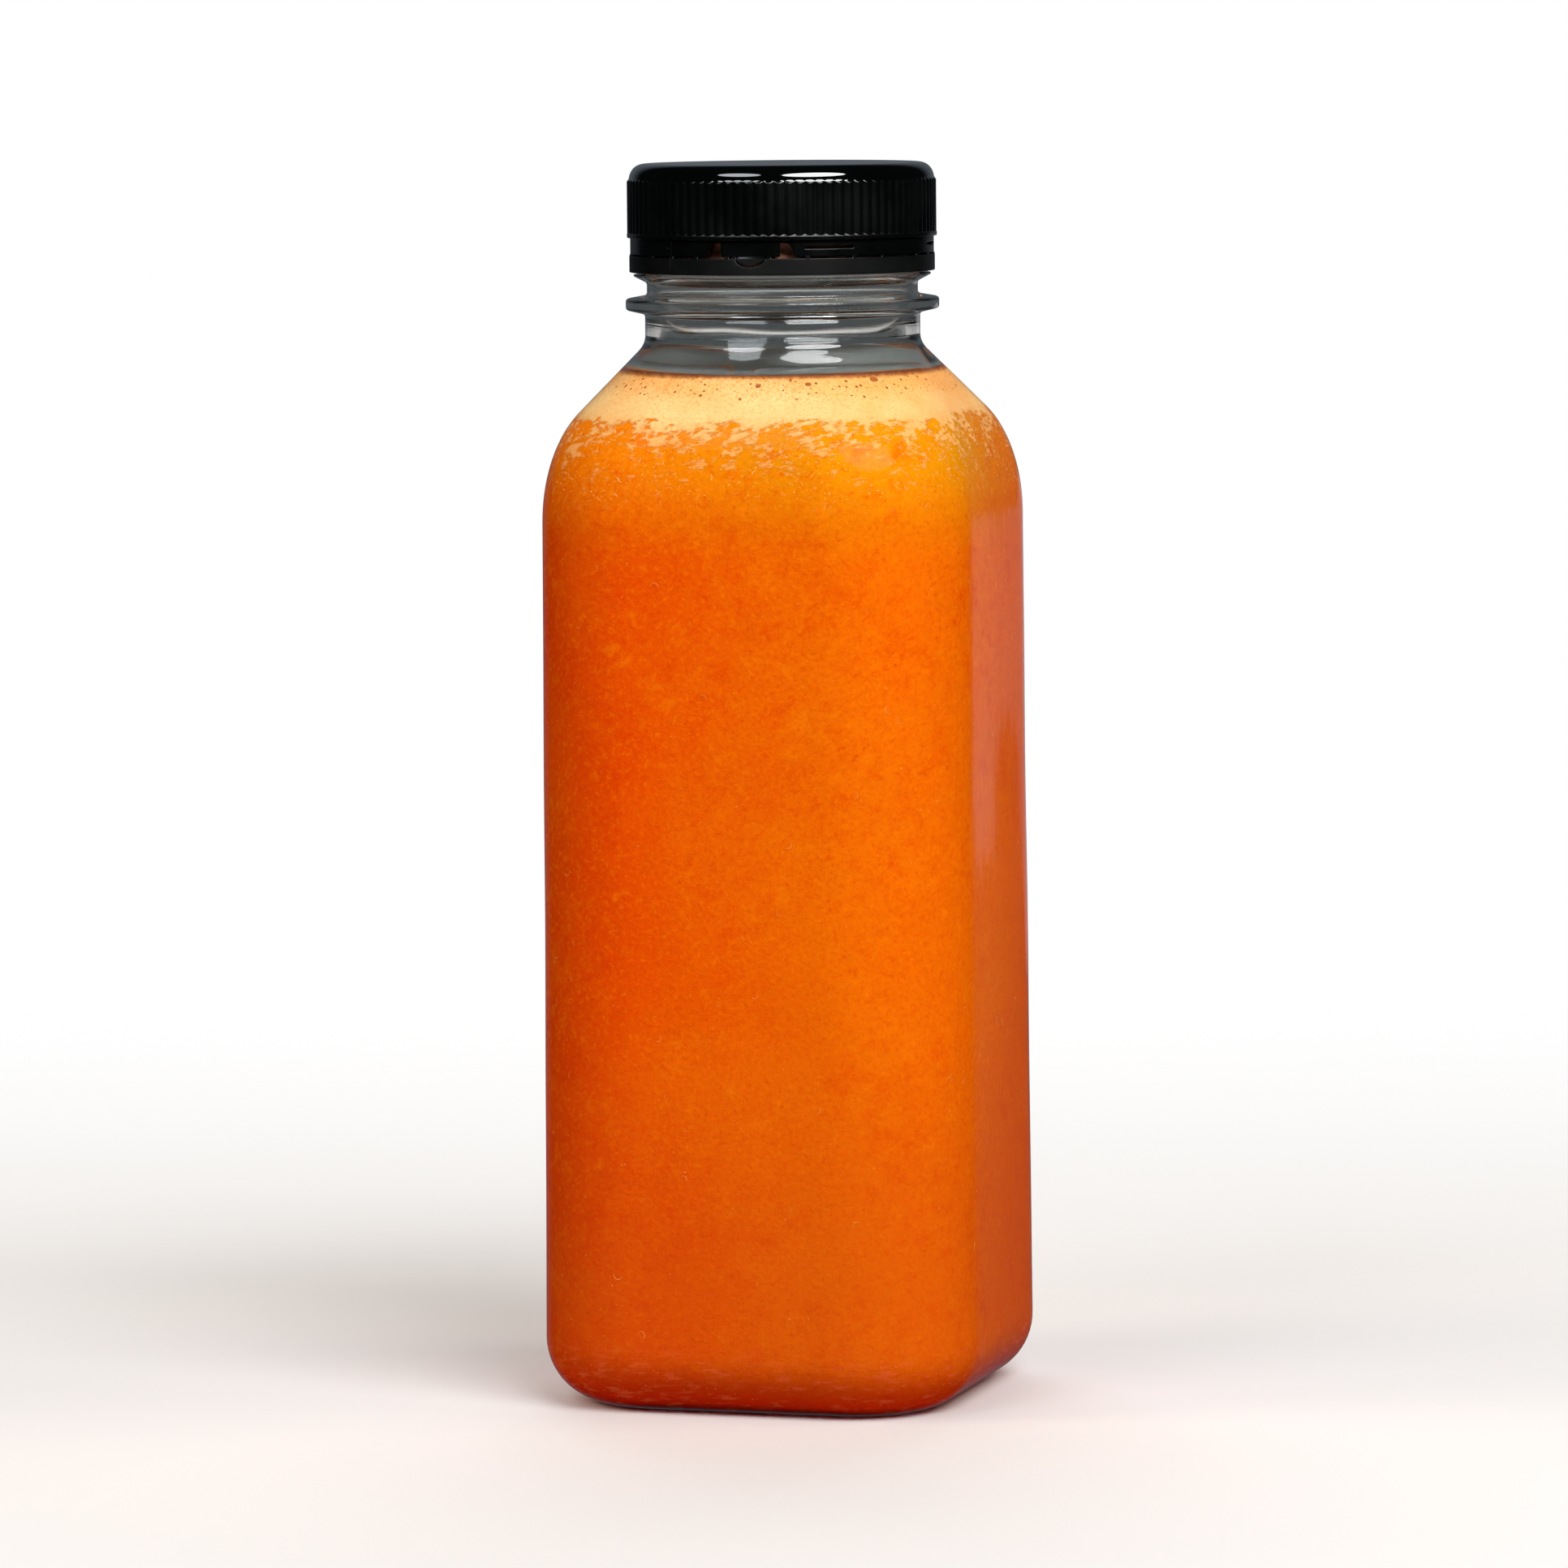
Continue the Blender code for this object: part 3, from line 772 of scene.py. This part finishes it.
def fibre_shape(bends=9, sides=5, first_bend=-70, sweep=175, bow_r=0.45):
    """A thin curled thread about one unit long, closed at both ends."""
    mesh = bmesh.new()
    rings = []
    for share in spread(bends):
        bend = math.radians(first_bend + sweep * share**FIBRE_CURL)
        centre = Vector((math.sin(bend), 1 - math.cos(bend), 0)) * bow_r
        side = Vector((-math.sin(bend), math.cos(bend), 0))
        ring = []
        for k in range(sides):
            turn = 2 * math.pi * k / sides
            thin = FIBRE_R * (1 - FIBRE_TAPER * abs(2 * share - 1))
            around = side * math.cos(turn) + Vector((0, 0, 1)) * math.sin(turn)
            ring.append(mesh.verts.new(centre + around * thin))
        rings.append(ring)
    for first, second in zip(rings, rings[1:]):
        for k in range(sides):
            n = (k + 1) % sides
            mesh.faces.new((first[k], first[n], second[n], second[k]))
    mesh.faces.new(rings[0])
    mesh.faces.new(rings[-1][::-1])
    bmesh.ops.recalc_face_normals(mesh, faces=mesh.faces)
    return mesh


def thread_shape():
    """A short, nearly straight thread with few faces, for the many in the foam's shreds."""
    return fibre_shape(bends=4, sides=4, first_bend=-25, sweep=60, bow_r=0.8)


def bubble_shape():
    """A bubble one unit wide."""
    return flat_ball(2, BUBBLE_FLATTENING)


def pulp_material(name, pale, deep):
    """Pale, slightly uneven pulp."""
    material, tree, output = new_material(name)
    cloud = ramp(tree, noise(tree, 3 * MM), 0.35, 0.65)
    inputs = {"Base Color": mixed(tree, cloud, pale, deep), "Roughness": 0.75}
    inputs["Specular IOR Level"] = 0.1
    surface(tree, output, inputs)
    return material


def bubble_material():
    """Brown, wet bubbles, with painted shade to their upper left and painted light to their lower
    right.
    """
    material, tree, output = new_material("bubbles")
    normal = add(tree, "ShaderNodeNewGeometry").outputs["Normal"]
    # Painted light and shade: lighter where the normal faces this way, darker brown elsewhere.
    painted_light_from = (0.75, -0.2, -0.6)
    toward = add(tree, "ShaderNodeVectorMath", {0: normal, 1: painted_light_from}, operation="DOT_PRODUCT")
    rim = ramp(tree, toward.outputs["Value"], 0.35, 0.85)
    mottle = ramp(tree, noise(tree, 0.4 * MM), 0.3, 0.7, 0.0, 0.3)
    painted_shade_brown = mixed(tree, mottle, (0.26, 0.060, 0.006), (0.42, 0.13, 0.015))
    inputs = {"Base Color": mixed(tree, rim, painted_shade_brown, (0.52, 0.26, 0.08)), "Roughness": 0.6}
    inputs["Specular IOR Level"] = 0.2
    surface(tree, output, inputs)
    return material


def grown(piece, tree, sizes):
    """Runs a tree on a piece and keeps the result as a plain mesh."""
    modifier = piece.modifiers.new(tree.name, "NODES")
    modifier.node_group = tree
    for socket in tree.interface.items_tree:
        if socket.in_out == "INPUT" and socket.name in sizes:
            modifier[socket.identifier] = sizes[socket.name]
    graph = bpy.context.evaluated_depsgraph_get()
    result = bpy.data.meshes.new_from_object(piece.evaluated_get(graph))
    piece.modifiers.remove(modifier)
    piece.data = result
    return piece


STREWN_COPIES = scatter_tree()


def strew(name, shape, material, span, density, sizes, seed, node):
    """Strews copies of a shape over the wall between two heights and keeps the mesh."""
    wall = bmesh.new()
    inside = inset(body_levels(), SPECK_DEPTH)
    between = [level for level in inside if span[0] < level[2] < span[1]]
    levels = [level_at(inside, span[0]), *between, level_at(inside, span[1])]
    skin(wall, levels, closed=False)
    piece = piece_from(name, wall, material)
    pattern = piece_from(name + "_shape", shape, material)
    inputs = {"Shape": pattern, "Density": density, "Smallest": sizes[0], "Largest": sizes[1]}
    grown(piece, STREWN_COPIES, {**inputs, "Seed": seed, "Material": material})
    bpy.data.objects.remove(pattern)
    piece.data.shade_smooth()
    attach(piece, "root")
    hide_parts(node)


PALE_PULP = pulp_material("pale_pulp", (0.70, 0.26, 0.06), (0.66, 0.17, 0.015))
FOAM_PULP = pulp_material("foam_pulp", (0.78, 0.37, 0.11), (0.78, 0.28, 0.03))
HEEL_PULP = pulp_material("heel_pulp", (0.75, 0.13, 0.035), (0.75, 0.07, 0.012))
BUBBLES = bubble_material()
STREWN = (
    # name, shape, material, lowest, highest, copies a square metre, smallest, largest, seed, node
    ("pulp_specks", speck_shape, PALE_PULP, 8, 122, 30e3, 0.10, 0.42, 3, "juice"),
    ("pulp_fibres", fibre_shape, PALE_PULP, 8, 122, 10e3, 0.4, 1.5, 5, "juice"),
    ("foam_specks", speck_shape, FOAM_PULP, 122, 133, 1.3e6, 0.08, 0.40, 7, "juice"),
    ("foam_threads", thread_shape, FOAM_PULP, 121, 132, 500e3, 0.3, 1.2, 17, "juice"),
    ("heel_specks", speck_shape, HEEL_PULP, 1.5, 8, 330e3, 0.12, 0.5, 11, "juice"),
    ("bubbles", bubble_shape, BUBBLES, 134.8, 137.8, 800e3, 0.08, 0.46, 13, "foam"),
)
for name, shape, material, low, high, density, small, large, seed, node in STREWN:
    strew(name, shape(), material, (low * MM, high * MM), density, (small * MM, large * MM), seed, node)


LARGE_BUBBLES = (
    # direction in degrees, height and width in millimetres
    (-41.6, 137.1, 1.15),
    (-65.3, 136.7, 0.75),
    (-82.4, 136.5, 0.70),
    (48, 136.6, 0.9),
    (139, 136.9, 0.8),
)
LARGE_BUBBLE_FLATTENING = (1.1, 0.85, 0.3, 1)
WALL_STEP = 0.3 * MM


def add_large_bubbles():
    """A few larger bubbles, each laid flat against the slope of the wall."""
    inside = inset(body_levels(), SPECK_DEPTH)
    mesh = bmesh.new()
    for turn, z, width in LARGE_BUBBLES:
        angle = math.radians(turn)
        steps = (z * MM - WALL_STEP, z * MM + WALL_STEP)
        low, high = (Vector(outline_point(angle, level_at(inside, step))) for step in steps)
        up = (high - low).normalized()
        side = Vector((-math.sin(angle), math.cos(angle), 0))
        axes = Matrix((side, up, side.cross(up))).transposed().to_4x4()
        flat = Matrix.Diagonal(LARGE_BUBBLE_FLATTENING)
        place = Matrix.Translation((low + high) / 2) @ axes @ flat
        bmesh.ops.create_icosphere(mesh, subdivisions=3, radius=width * MM / 2, matrix=place)
    bubbles = piece_from("large_bubbles", mesh, BUBBLES)
    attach(bubbles, "root")
    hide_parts("foam")


add_large_bubbles()


# The cap
# A black moulded screw cap with a glossy shoulder, 94 fine ribs and a ledge under them. It is
# one rib's slice, turned round and welded. It rests on the mouth of the bottle.
CAP_TOP_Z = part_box("cap")[1][2]
CAP_MIDDLE_R = 8.0 * MM
CAP_TOP_FLAT_R = 18.3 * MM
SHOULDER_FOOT_R = 20.44 * MM
SHOULDER_FOOT_Z = 163.44 * MM
SHOULDER_PULL = 1.2 * MM
SHOULDER_FOOT_TILT = math.radians(7)
RIB_OUTER_R = 20.70 * MM
RIB_INNER_R = 20.48 * MM
RIB_EDGE = 0.12 * MM
RIB_END = 0.06 * MM
RIB_EDGE_TILT = math.radians(27)
RIB_COUNT = 94
RIB_FULLNESS = 0.6
RIB_FOOT_SLOPE = 1.3
CREASE_DROP = 0.07 * MM
CREASE_SLOPE = 1.15
LEDGE_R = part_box("cap")[1][0]
LEDGE_TOP_Z = 156.1 * MM
LEDGE_FOOT_Z = 155.6 * MM
CAP_BORE_R = 19.2 * MM
CAP_TOP_THICKNESS = 1.5 * MM
RIB_COLUMNS = 10
BAND_SHEEN_TOP_Z = 153.3 * MM


def ring_tree():
    """Geometry nodes: copies of a piece turned evenly round the upright axis and welded."""
    tree = bpy.data.node_groups.new("turned_copies", "GeometryNodeTree")
    given, result = add_sockets(tree, (("Count", "Int"), ("Weld", "Float")))
    points = add(tree, "GeometryNodePoints", {"Count": given["Count"]})
    index = add(tree, "GeometryNodeInputIndex").outputs["Index"]
    step = math_node(tree, "DIVIDE", 2 * math.pi, given["Count"])
    turn = add(tree, "ShaderNodeCombineXYZ", {"Z": times(tree, index, step)})
    inputs = {
        "Points": points.outputs["Points"],
        "Instance": given["Geometry"],
        "Rotation": turn.outputs["Vector"],
    }
    inputs = {"Geometry": real_copies(tree, inputs), "Distance": given["Weld"]}
    weld = add(tree, "GeometryNodeMergeByDistance", inputs)
    return finish_tree(tree, weld.outputs["Geometry"], given, result)


def cap_shoulder():
    """The rounded shoulder of the cap from the flat top down to the ribs."""
    foot = Vector((SHOULDER_FOOT_R, SHOULDER_FOOT_Z))
    top = Vector((CAP_TOP_FLAT_R, CAP_TOP_Z))
    rise = Vector((-math.sin(SHOULDER_FOOT_TILT), math.cos(SHOULDER_FOOT_TILT))) * SHOULDER_PULL
    pulls = (top, top + Vector((SHOULDER_PULL, 0)), foot + rise, foot)
    points = []
    for t in spread(18):
        shares = ((1 - t) ** 3, 3 * t * (1 - t) ** 2, 3 * t**2 * (1 - t), t**3)
        points.append(sum((pull * share for pull, share in zip(pulls, shares)), Vector((0, 0))))
    return points


def cap_column(angle_share):
    """The cap's section at one place across a rib, from the middle of the top to the bore."""
    swell = (0.5 - 0.5 * math.cos(2 * math.pi * angle_share)) ** RIB_FULLNESS
    rib_r = RIB_INNER_R + (RIB_OUTER_R - RIB_INNER_R) * swell
    crease_z = SHOULDER_FOOT_Z - CREASE_DROP - (rib_r - SHOULDER_FOOT_R) * CREASE_SLOPE
    foot_z = LEDGE_TOP_Z + (LEDGE_R - rib_r) * RIB_FOOT_SLOPE
    edge_r = rib_r - RIB_EDGE * math.sin(RIB_EDGE_TILT)
    edge_z = crease_z + RIB_EDGE * math.cos(RIB_EDGE_TILT)
    path = [
        (edge_r, edge_z - 0.001 * MM, 0),
        (rib_r, crease_z, 0),
        (rib_r, crease_z - RIB_END, 0),
        (rib_r, foot_z + RIB_END, 0),
        (rib_r, foot_z, 0),
        (LEDGE_R, LEDGE_TOP_Z, 0.08 * MM),
        (LEDGE_R, LEDGE_FOOT_Z, 0.12 * MM),
        (CAP_BORE_R, LEDGE_FOOT_Z, 0),
        (CAP_BORE_R, CAP_TOP_Z - CAP_TOP_THICKNESS, 0),
    ]
    middle = [Vector((0, CAP_TOP_Z)), Vector((CAP_MIDDLE_R, CAP_TOP_Z))]
    underside = [Vector((0, CAP_TOP_Z - CAP_TOP_THICKNESS))]
    return middle + cap_shoulder() + rounded(path) + underside


def rib_slice():
    """One rib with its share of the cap, as a wedge."""
    mesh = bmesh.new()
    columns = []
    for share in spread(RIB_COLUMNS):
        angle = 2 * math.pi / RIB_COUNT * share
        c, s = math.cos(angle), math.sin(angle)
        columns.append([mesh.verts.new((r * c, r * s, z)) for r, z in cap_column(share)])
    for first, second in zip(columns, columns[1:]):
        for k in range(len(first) - 1):
            mesh.faces.new((first[k], first[k + 1], second[k + 1], second[k]))
    return mesh


def black_plastic():
    """Black plastic: glossy on the shoulder, satin with fine specks below it."""
    material, tree, output = new_material("black_plastic")
    specks = noise(tree, 0.22 * MM, detail=3.0, roughness=0.7)
    cloud = noise(tree, 6 * MM, detail=3.0)
    satin = ramp(tree, cloud, 0.3, 0.7, 0.24, 0.36)
    low = ramp(tree, height(tree), BAND_SHEEN_TOP_Z, BAND_SHEEN_TOP_Z - 0.3 * MM, 0.0, 0.24)
    satin = plus(tree, satin, low)
    gloss = ramp(tree, height(tree), SHOULDER_FOOT_Z - 0.4 * MM, SHOULDER_FOOT_Z)
    shine = add(tree, "ShaderNodeMix", {"Factor": gloss, "A": satin, "B": 0.035})
    speck_depth = math_node(tree, "SUBTRACT", 1.0, times(tree, gloss, 0.9))
    lumps = times(tree, specks, speck_depth)
    inputs = {
        "Base Color": mixed(tree, cloud, (0.0003, 0.0006, 0.0006), (0.0012, 0.0022, 0.0021)),
        "Roughness": shine.outputs["Result"],
        "Coat Weight": gloss,
        "Coat Roughness": 0.03,
        "Normal": bump(tree, lumps, 0.5, 0.02 * MM),
    }
    surface(tree, output, inputs)
    return material


CAP_BLACK = black_plastic()
TURNED_COPIES = ring_tree()


def add_cap():
    """The cap above its band, from one rib's slice."""
    cap = piece_from("cap_top", rib_slice(), CAP_BLACK)
    grown(cap, TURNED_COPIES, {"Count": RIB_COUNT, "Weld": 0.002 * MM, "Material": CAP_BLACK})
    mesh = bmesh.new()
    mesh.from_mesh(cap.data)
    bmesh.ops.recalc_face_normals(mesh, faces=mesh.faces)
    mesh.to_mesh(cap.data)
    mesh.free()
    cap.data.shade_smooth()
    cap.data.set_sharp_from_angle(angle=math.radians(50))
    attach(cap, "root")
    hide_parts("cap")


add_cap()


# The tamper band
# The lower part of the same black moulding: a skirt with a pull tab and two slotted wings, and
# the band under it, which small bridges hold. It is cut as a flat strip and wrapped round.
BAND_R = 20.46 * MM
SKIRT_R = 20.33 * MM
BAND_FOOT_Z = 151.0 * MM
BAND_TOP_Z = 153.2 * MM
SKIRT_FOOT_Z = 153.45 * MM
STRIP_TOP_Z = LEDGE_FOOT_Z + 0.05 * MM
STRIP_THICKNESS = 1.2 * MM
STRIP_EDGE = 0.09 * MM
TAB_CENTRE = math.radians(-85.85)
TAB_HALF_ANGLE = 11.35
WINDOW_FOOT_ANGLE = 5.4
WINDOW_TOP_ANGLE = 2.0
WINDOW_TOP_Z = 155.2 * MM
TONGUE_HALF_WIDTH = 2.0 * MM
TONGUE_DROP = 1.15 * MM
BRIDGE_ANGLES = (-33.9, -21.9, -8.9, 7.2, 21.7, 40.2, 53.2, 74.2, 86.1)
BRIDGE_HALF_ANGLE = 0.9
SLOT_SPANS = ((-36.0, -21.5), (20.5, 40.0))
SLOT_LOW_Z = 154.45 * MM
SLOT_HIGH_Z = 154.85 * MM
SLOT_CORNER = 0.8
PATTERN_REPEATS = 3
STRIP_COLUMNS = 120
GAP_STEP = 0.35
TAB_EDGE = 0.05


def gap_edges(angle):
    """The lower and upper edge of the gap, at an angle in degrees from the middle of the tab."""
    low, high = BAND_TOP_Z, SKIRT_FOOT_Z
    on_tongue = math.radians(angle) * BAND_R / TONGUE_HALF_WIDTH
    if abs(on_tongue) < 1:
        drop = TONGUE_DROP * math.sqrt(1 - on_tongue**2)
        return low - drop, high - drop
    beside = abs(angle) - TAB_HALF_ANGLE
    if 0 < beside < WINDOW_FOOT_ANGLE:
        share = (beside - WINDOW_TOP_ANGLE) / (WINDOW_FOOT_ANGLE - WINDOW_TOP_ANGLE)
        high += (WINDOW_TOP_Z - high) * math.sqrt(1 - max(share, 0.0) ** 2)
    return low, high


def gap_outline(start, end):
    """The outline of the gap between two bridges, as angles and heights."""
    edge = TAB_HALF_ANGLE + TAB_EDGE
    corners = (-edge, -TAB_HALF_ANGLE, TAB_HALF_ANGLE, edge)
    steps = round((end - start) / GAP_STEP)
    angles = [start + (end - start) * share for share in spread(steps)]
    angles = sorted(angles + [corner for corner in corners if start < corner < end])
    below = [(angle, gap_edges(angle)[0]) for angle in angles]
    above = [(angle, gap_edges(angle)[1]) for angle in angles]
    return below + above[::-1]


def slot_outline(start, end):
    """The outline of a wing's narrow slot, with its ends rounded."""
    low, high = SLOT_LOW_Z, SLOT_HIGH_Z
    third = (high - low) / 3
    ends = ((start, high - third), (start, low + third), (start + SLOT_CORNER / 2, low))
    far = ((end - SLOT_CORNER / 2, low), (end, low + third), (end, high - third))
    return ends + far + ((end - SLOT_CORNER / 2, high), (start + SLOT_CORNER / 2, high))


def strip_outlines():
    """The strip's own outline and all its openings, with the pattern repeated."""
    turn = 360 / PATTERN_REPEATS
    holes = [
        gap_outline(start + BRIDGE_HALF_ANGLE, end - BRIDGE_HALF_ANGLE)
        for start, end in zip(BRIDGE_ANGLES, BRIDGE_ANGLES[1:])
    ]
    holes += [slot_outline(*span) for span in SLOT_SPANS]
    first = BRIDGE_ANGLES[0]
    last = first + 360
    outlines = [[(first, BAND_FOOT_Z), (last, BAND_FOOT_Z), (last, STRIP_TOP_Z), (first, STRIP_TOP_Z)]]
    for repeat in range(PATTERN_REPEATS):
        for hole in holes:
            shifted = [(angle + turn * repeat, z) for angle, z in hole]
            if shifted[0][0] < first:
                shifted = [(angle + 360, z) for angle, z in shifted]
            outlines.append(shifted)
    return outlines


def flat_strip():
    """The strip laid out flat in millimetres, with thin rounded edges."""
    curve = bpy.data.curves.new("strip", "CURVE")
    curve.dimensions = "2D"
    curve.fill_mode = "BOTH"
    curve.extrude = (STRIP_THICKNESS / 2 - STRIP_EDGE) / MM
    curve.bevel_depth = STRIP_EDGE / MM
    curve.bevel_resolution = 2
    curve.offset = -STRIP_EDGE / MM
    for outline in strip_outlines():
        spline = curve.splines.new("POLY")
        spline.points.add(len(outline) - 1)
        for point, (angle, z) in zip(spline.points, outline):
            point.co = (math.radians(angle) * BAND_R / MM, z / MM, 0, 1)
        spline.use_cyclic_u = True
    holder = in_scene("strip", curve)
    graph = bpy.context.evaluated_depsgraph_get()
    data = bpy.data.meshes.new_from_object(holder.evaluated_get(graph))
    mesh = bmesh.new()
    mesh.from_mesh(data)
    bpy.data.objects.remove(holder)
    return mesh


def add_band():
    """The strip, cut into narrow columns and wrapped round the neck."""
    mesh = flat_strip()
    bmesh.ops.remove_doubles(mesh, verts=mesh.verts, dist=0.001)
    start = math.radians(BRIDGE_ANGLES[0])
    for step in spread(STRIP_COLUMNS)[1:-1]:
        x = (start + 2 * math.pi * step) * BAND_R / MM
        everything = mesh.verts[:] + mesh.edges[:] + mesh.faces[:]
        bmesh.ops.bisect_plane(mesh, geom=everything, dist=1e-5, plane_co=(x, 0, 0), plane_no=(1, 0, 0))
    for point in mesh.verts:
        angle = TAB_CENTRE + point.co.x * MM / BAND_R
        outer = BAND_R if point.co.y * MM < (BAND_TOP_Z + SKIRT_FOOT_Z) / 2 else SKIRT_R
        reach = outer - STRIP_THICKNESS / 2 + point.co.z * MM
        point.co = (reach * math.cos(angle), reach * math.sin(angle), point.co.y * MM)
    bmesh.ops.recalc_face_normals(mesh, faces=mesh.faces)
    band = piece_from("cap_band", mesh, CAP_BLACK, sharp_angle=50)
    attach(band, "root")
    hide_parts("cap")


add_band()


# The light
# Two softboxes high in front, a strong one on the right and a weak one on the left. Warm ones
# light the sides, one lights the back, and a low one gives the right side its sheen. The dim
# room round them gives the clear neck its grey.
LIGHT_AIM = Vector((0, 0, 0.09))
LAMP_DISTANCE = 0.75
SIDEWAYS = 90


def softbox(name, turn, lift, size, power, colour=(1, 1, 1), mirrored=True):
    """A round-edged lamp aimed at the bottle, turned from the camera's side and lifted, in degrees.

    Nothing reflects it unless it is mirrored. Turned past sideways, it isn't seen through plastic.
    """
    azimuth = CAMERA_TURN + math.radians(turn)
    rise = math.radians(lift)
    level = Vector((math.sin(azimuth), -math.cos(azimuth), 0)) * math.cos(rise)
    away = level + Vector((0, 0, math.sin(rise)))
    lamp = bpy.data.lights.new(name, "AREA")
    lamp.shape = "ELLIPSE"
    lamp.size, lamp.size_y = size
    lamp.energy = power
    lamp.color = colour
    placed = in_scene(name, lamp)
    placed.location = LIGHT_AIM + away * LAMP_DISTANCE
    placed.rotation_euler = away.to_track_quat("Z", "Y").to_euler()
    placed.visible_camera = False
    placed.visible_glossy = mirrored
    placed.visible_transmission = mirrored and abs(turn) < SIDEWAYS


softbox("key", 29, 47, (0.54, 0.31), 4.9)
softbox("fill", -38, 47, (0.36, 0.245), 1.2, (0.93, 0.97, 1.0))
softbox("right_side", 82, 40, (0.3, 0.25), 1.0, (1.0, 0.86, 0.70), mirrored=False)
softbox("left_side", -78, 34, (0.3, 0.25), 1.6, (1.0, 0.76, 0.56), mirrored=False)
softbox("back", 180, 25, (0.9, 0.5), 4.4, mirrored=False)
softbox("far_right", 158, -3.4, (0.34, 0.15), 0.05, (1.0, 0.90, 0.95))
BACKDROP_GREY = (0.082, 0.088, 0.090)
DIM_GREY = (0.10, 0.115, 0.13)


def add_world():
    """White behind the bottle for the camera, grey through the plastic and dark elsewhere."""
    world = bpy.data.worlds.new("studio")
    bpy.context.scene.world = world
    world.use_nodes = True
    tree = world.node_tree
    tree.nodes.clear()
    ray = add(tree, "ShaderNodeLightPath").outputs
    toward = add(tree, "ShaderNodeTexCoord").outputs["Generated"]
    ahead = (-math.sin(CAMERA_TURN), math.cos(CAMERA_TURN), 0)
    facing = add(tree, "ShaderNodeVectorMath", {0: toward, 1: ahead}, operation="DOT_PRODUCT")
    behind = ramp(tree, facing.outputs["Value"], 0.72, 0.92)
    room = mixed(tree, behind, (0.004, 0.004, 0.005), DIM_GREY)
    room = mixed(tree, ray["Is Transmission Ray"], room, BACKDROP_GREY)
    colour = mixed(tree, ray["Is Camera Ray"], room, (1, 1, 1))
    background = add(tree, "ShaderNodeBackground", {"Color": colour, "Strength": 1.0})
    output = tree.nodes.new("ShaderNodeOutputWorld")
    tree.links.new(background.outputs["Background"], output.inputs["Surface"])


add_world()
bpy.context.scene.view_settings.view_transform = "Standard"


# The floor
# A pale round floor, one flat disc, whose edge fades out into the white background. The plastic
# doesn't reflect it.
FLOOR_R = 0.5
FLOOR_SOLID_R = 0.08


def add_floor():
    """A disc of pale floor with a soft edge."""
    material, tree, output = new_material("pale_floor")
    away = add(tree, "ShaderNodeVectorMath", {0: coordinates(tree)}, operation="LENGTH")
    fade = ramp(tree, away.outputs["Value"], FLOOR_SOLID_R, FLOOR_R)
    pale = add(tree, "ShaderNodeBsdfDiffuse", {"Color": (0.78, 0.78, 0.78, 1)})
    nothing = add(tree, "ShaderNodeBsdfTransparent")
    inputs = {0: fade, 1: pale.outputs["BSDF"], 2: nothing.outputs["BSDF"]}
    both = add(tree, "ShaderNodeMixShader", inputs)
    tree.links.new(both.outputs["Shader"], output.inputs["Surface"])
    mesh = bmesh.new()
    bmesh.ops.create_circle(mesh, cap_ends=True, segments=96, radius=FLOOR_R)
    floor = piece_from("floor", mesh, material)
    floor.visible_glossy = False


add_floor()
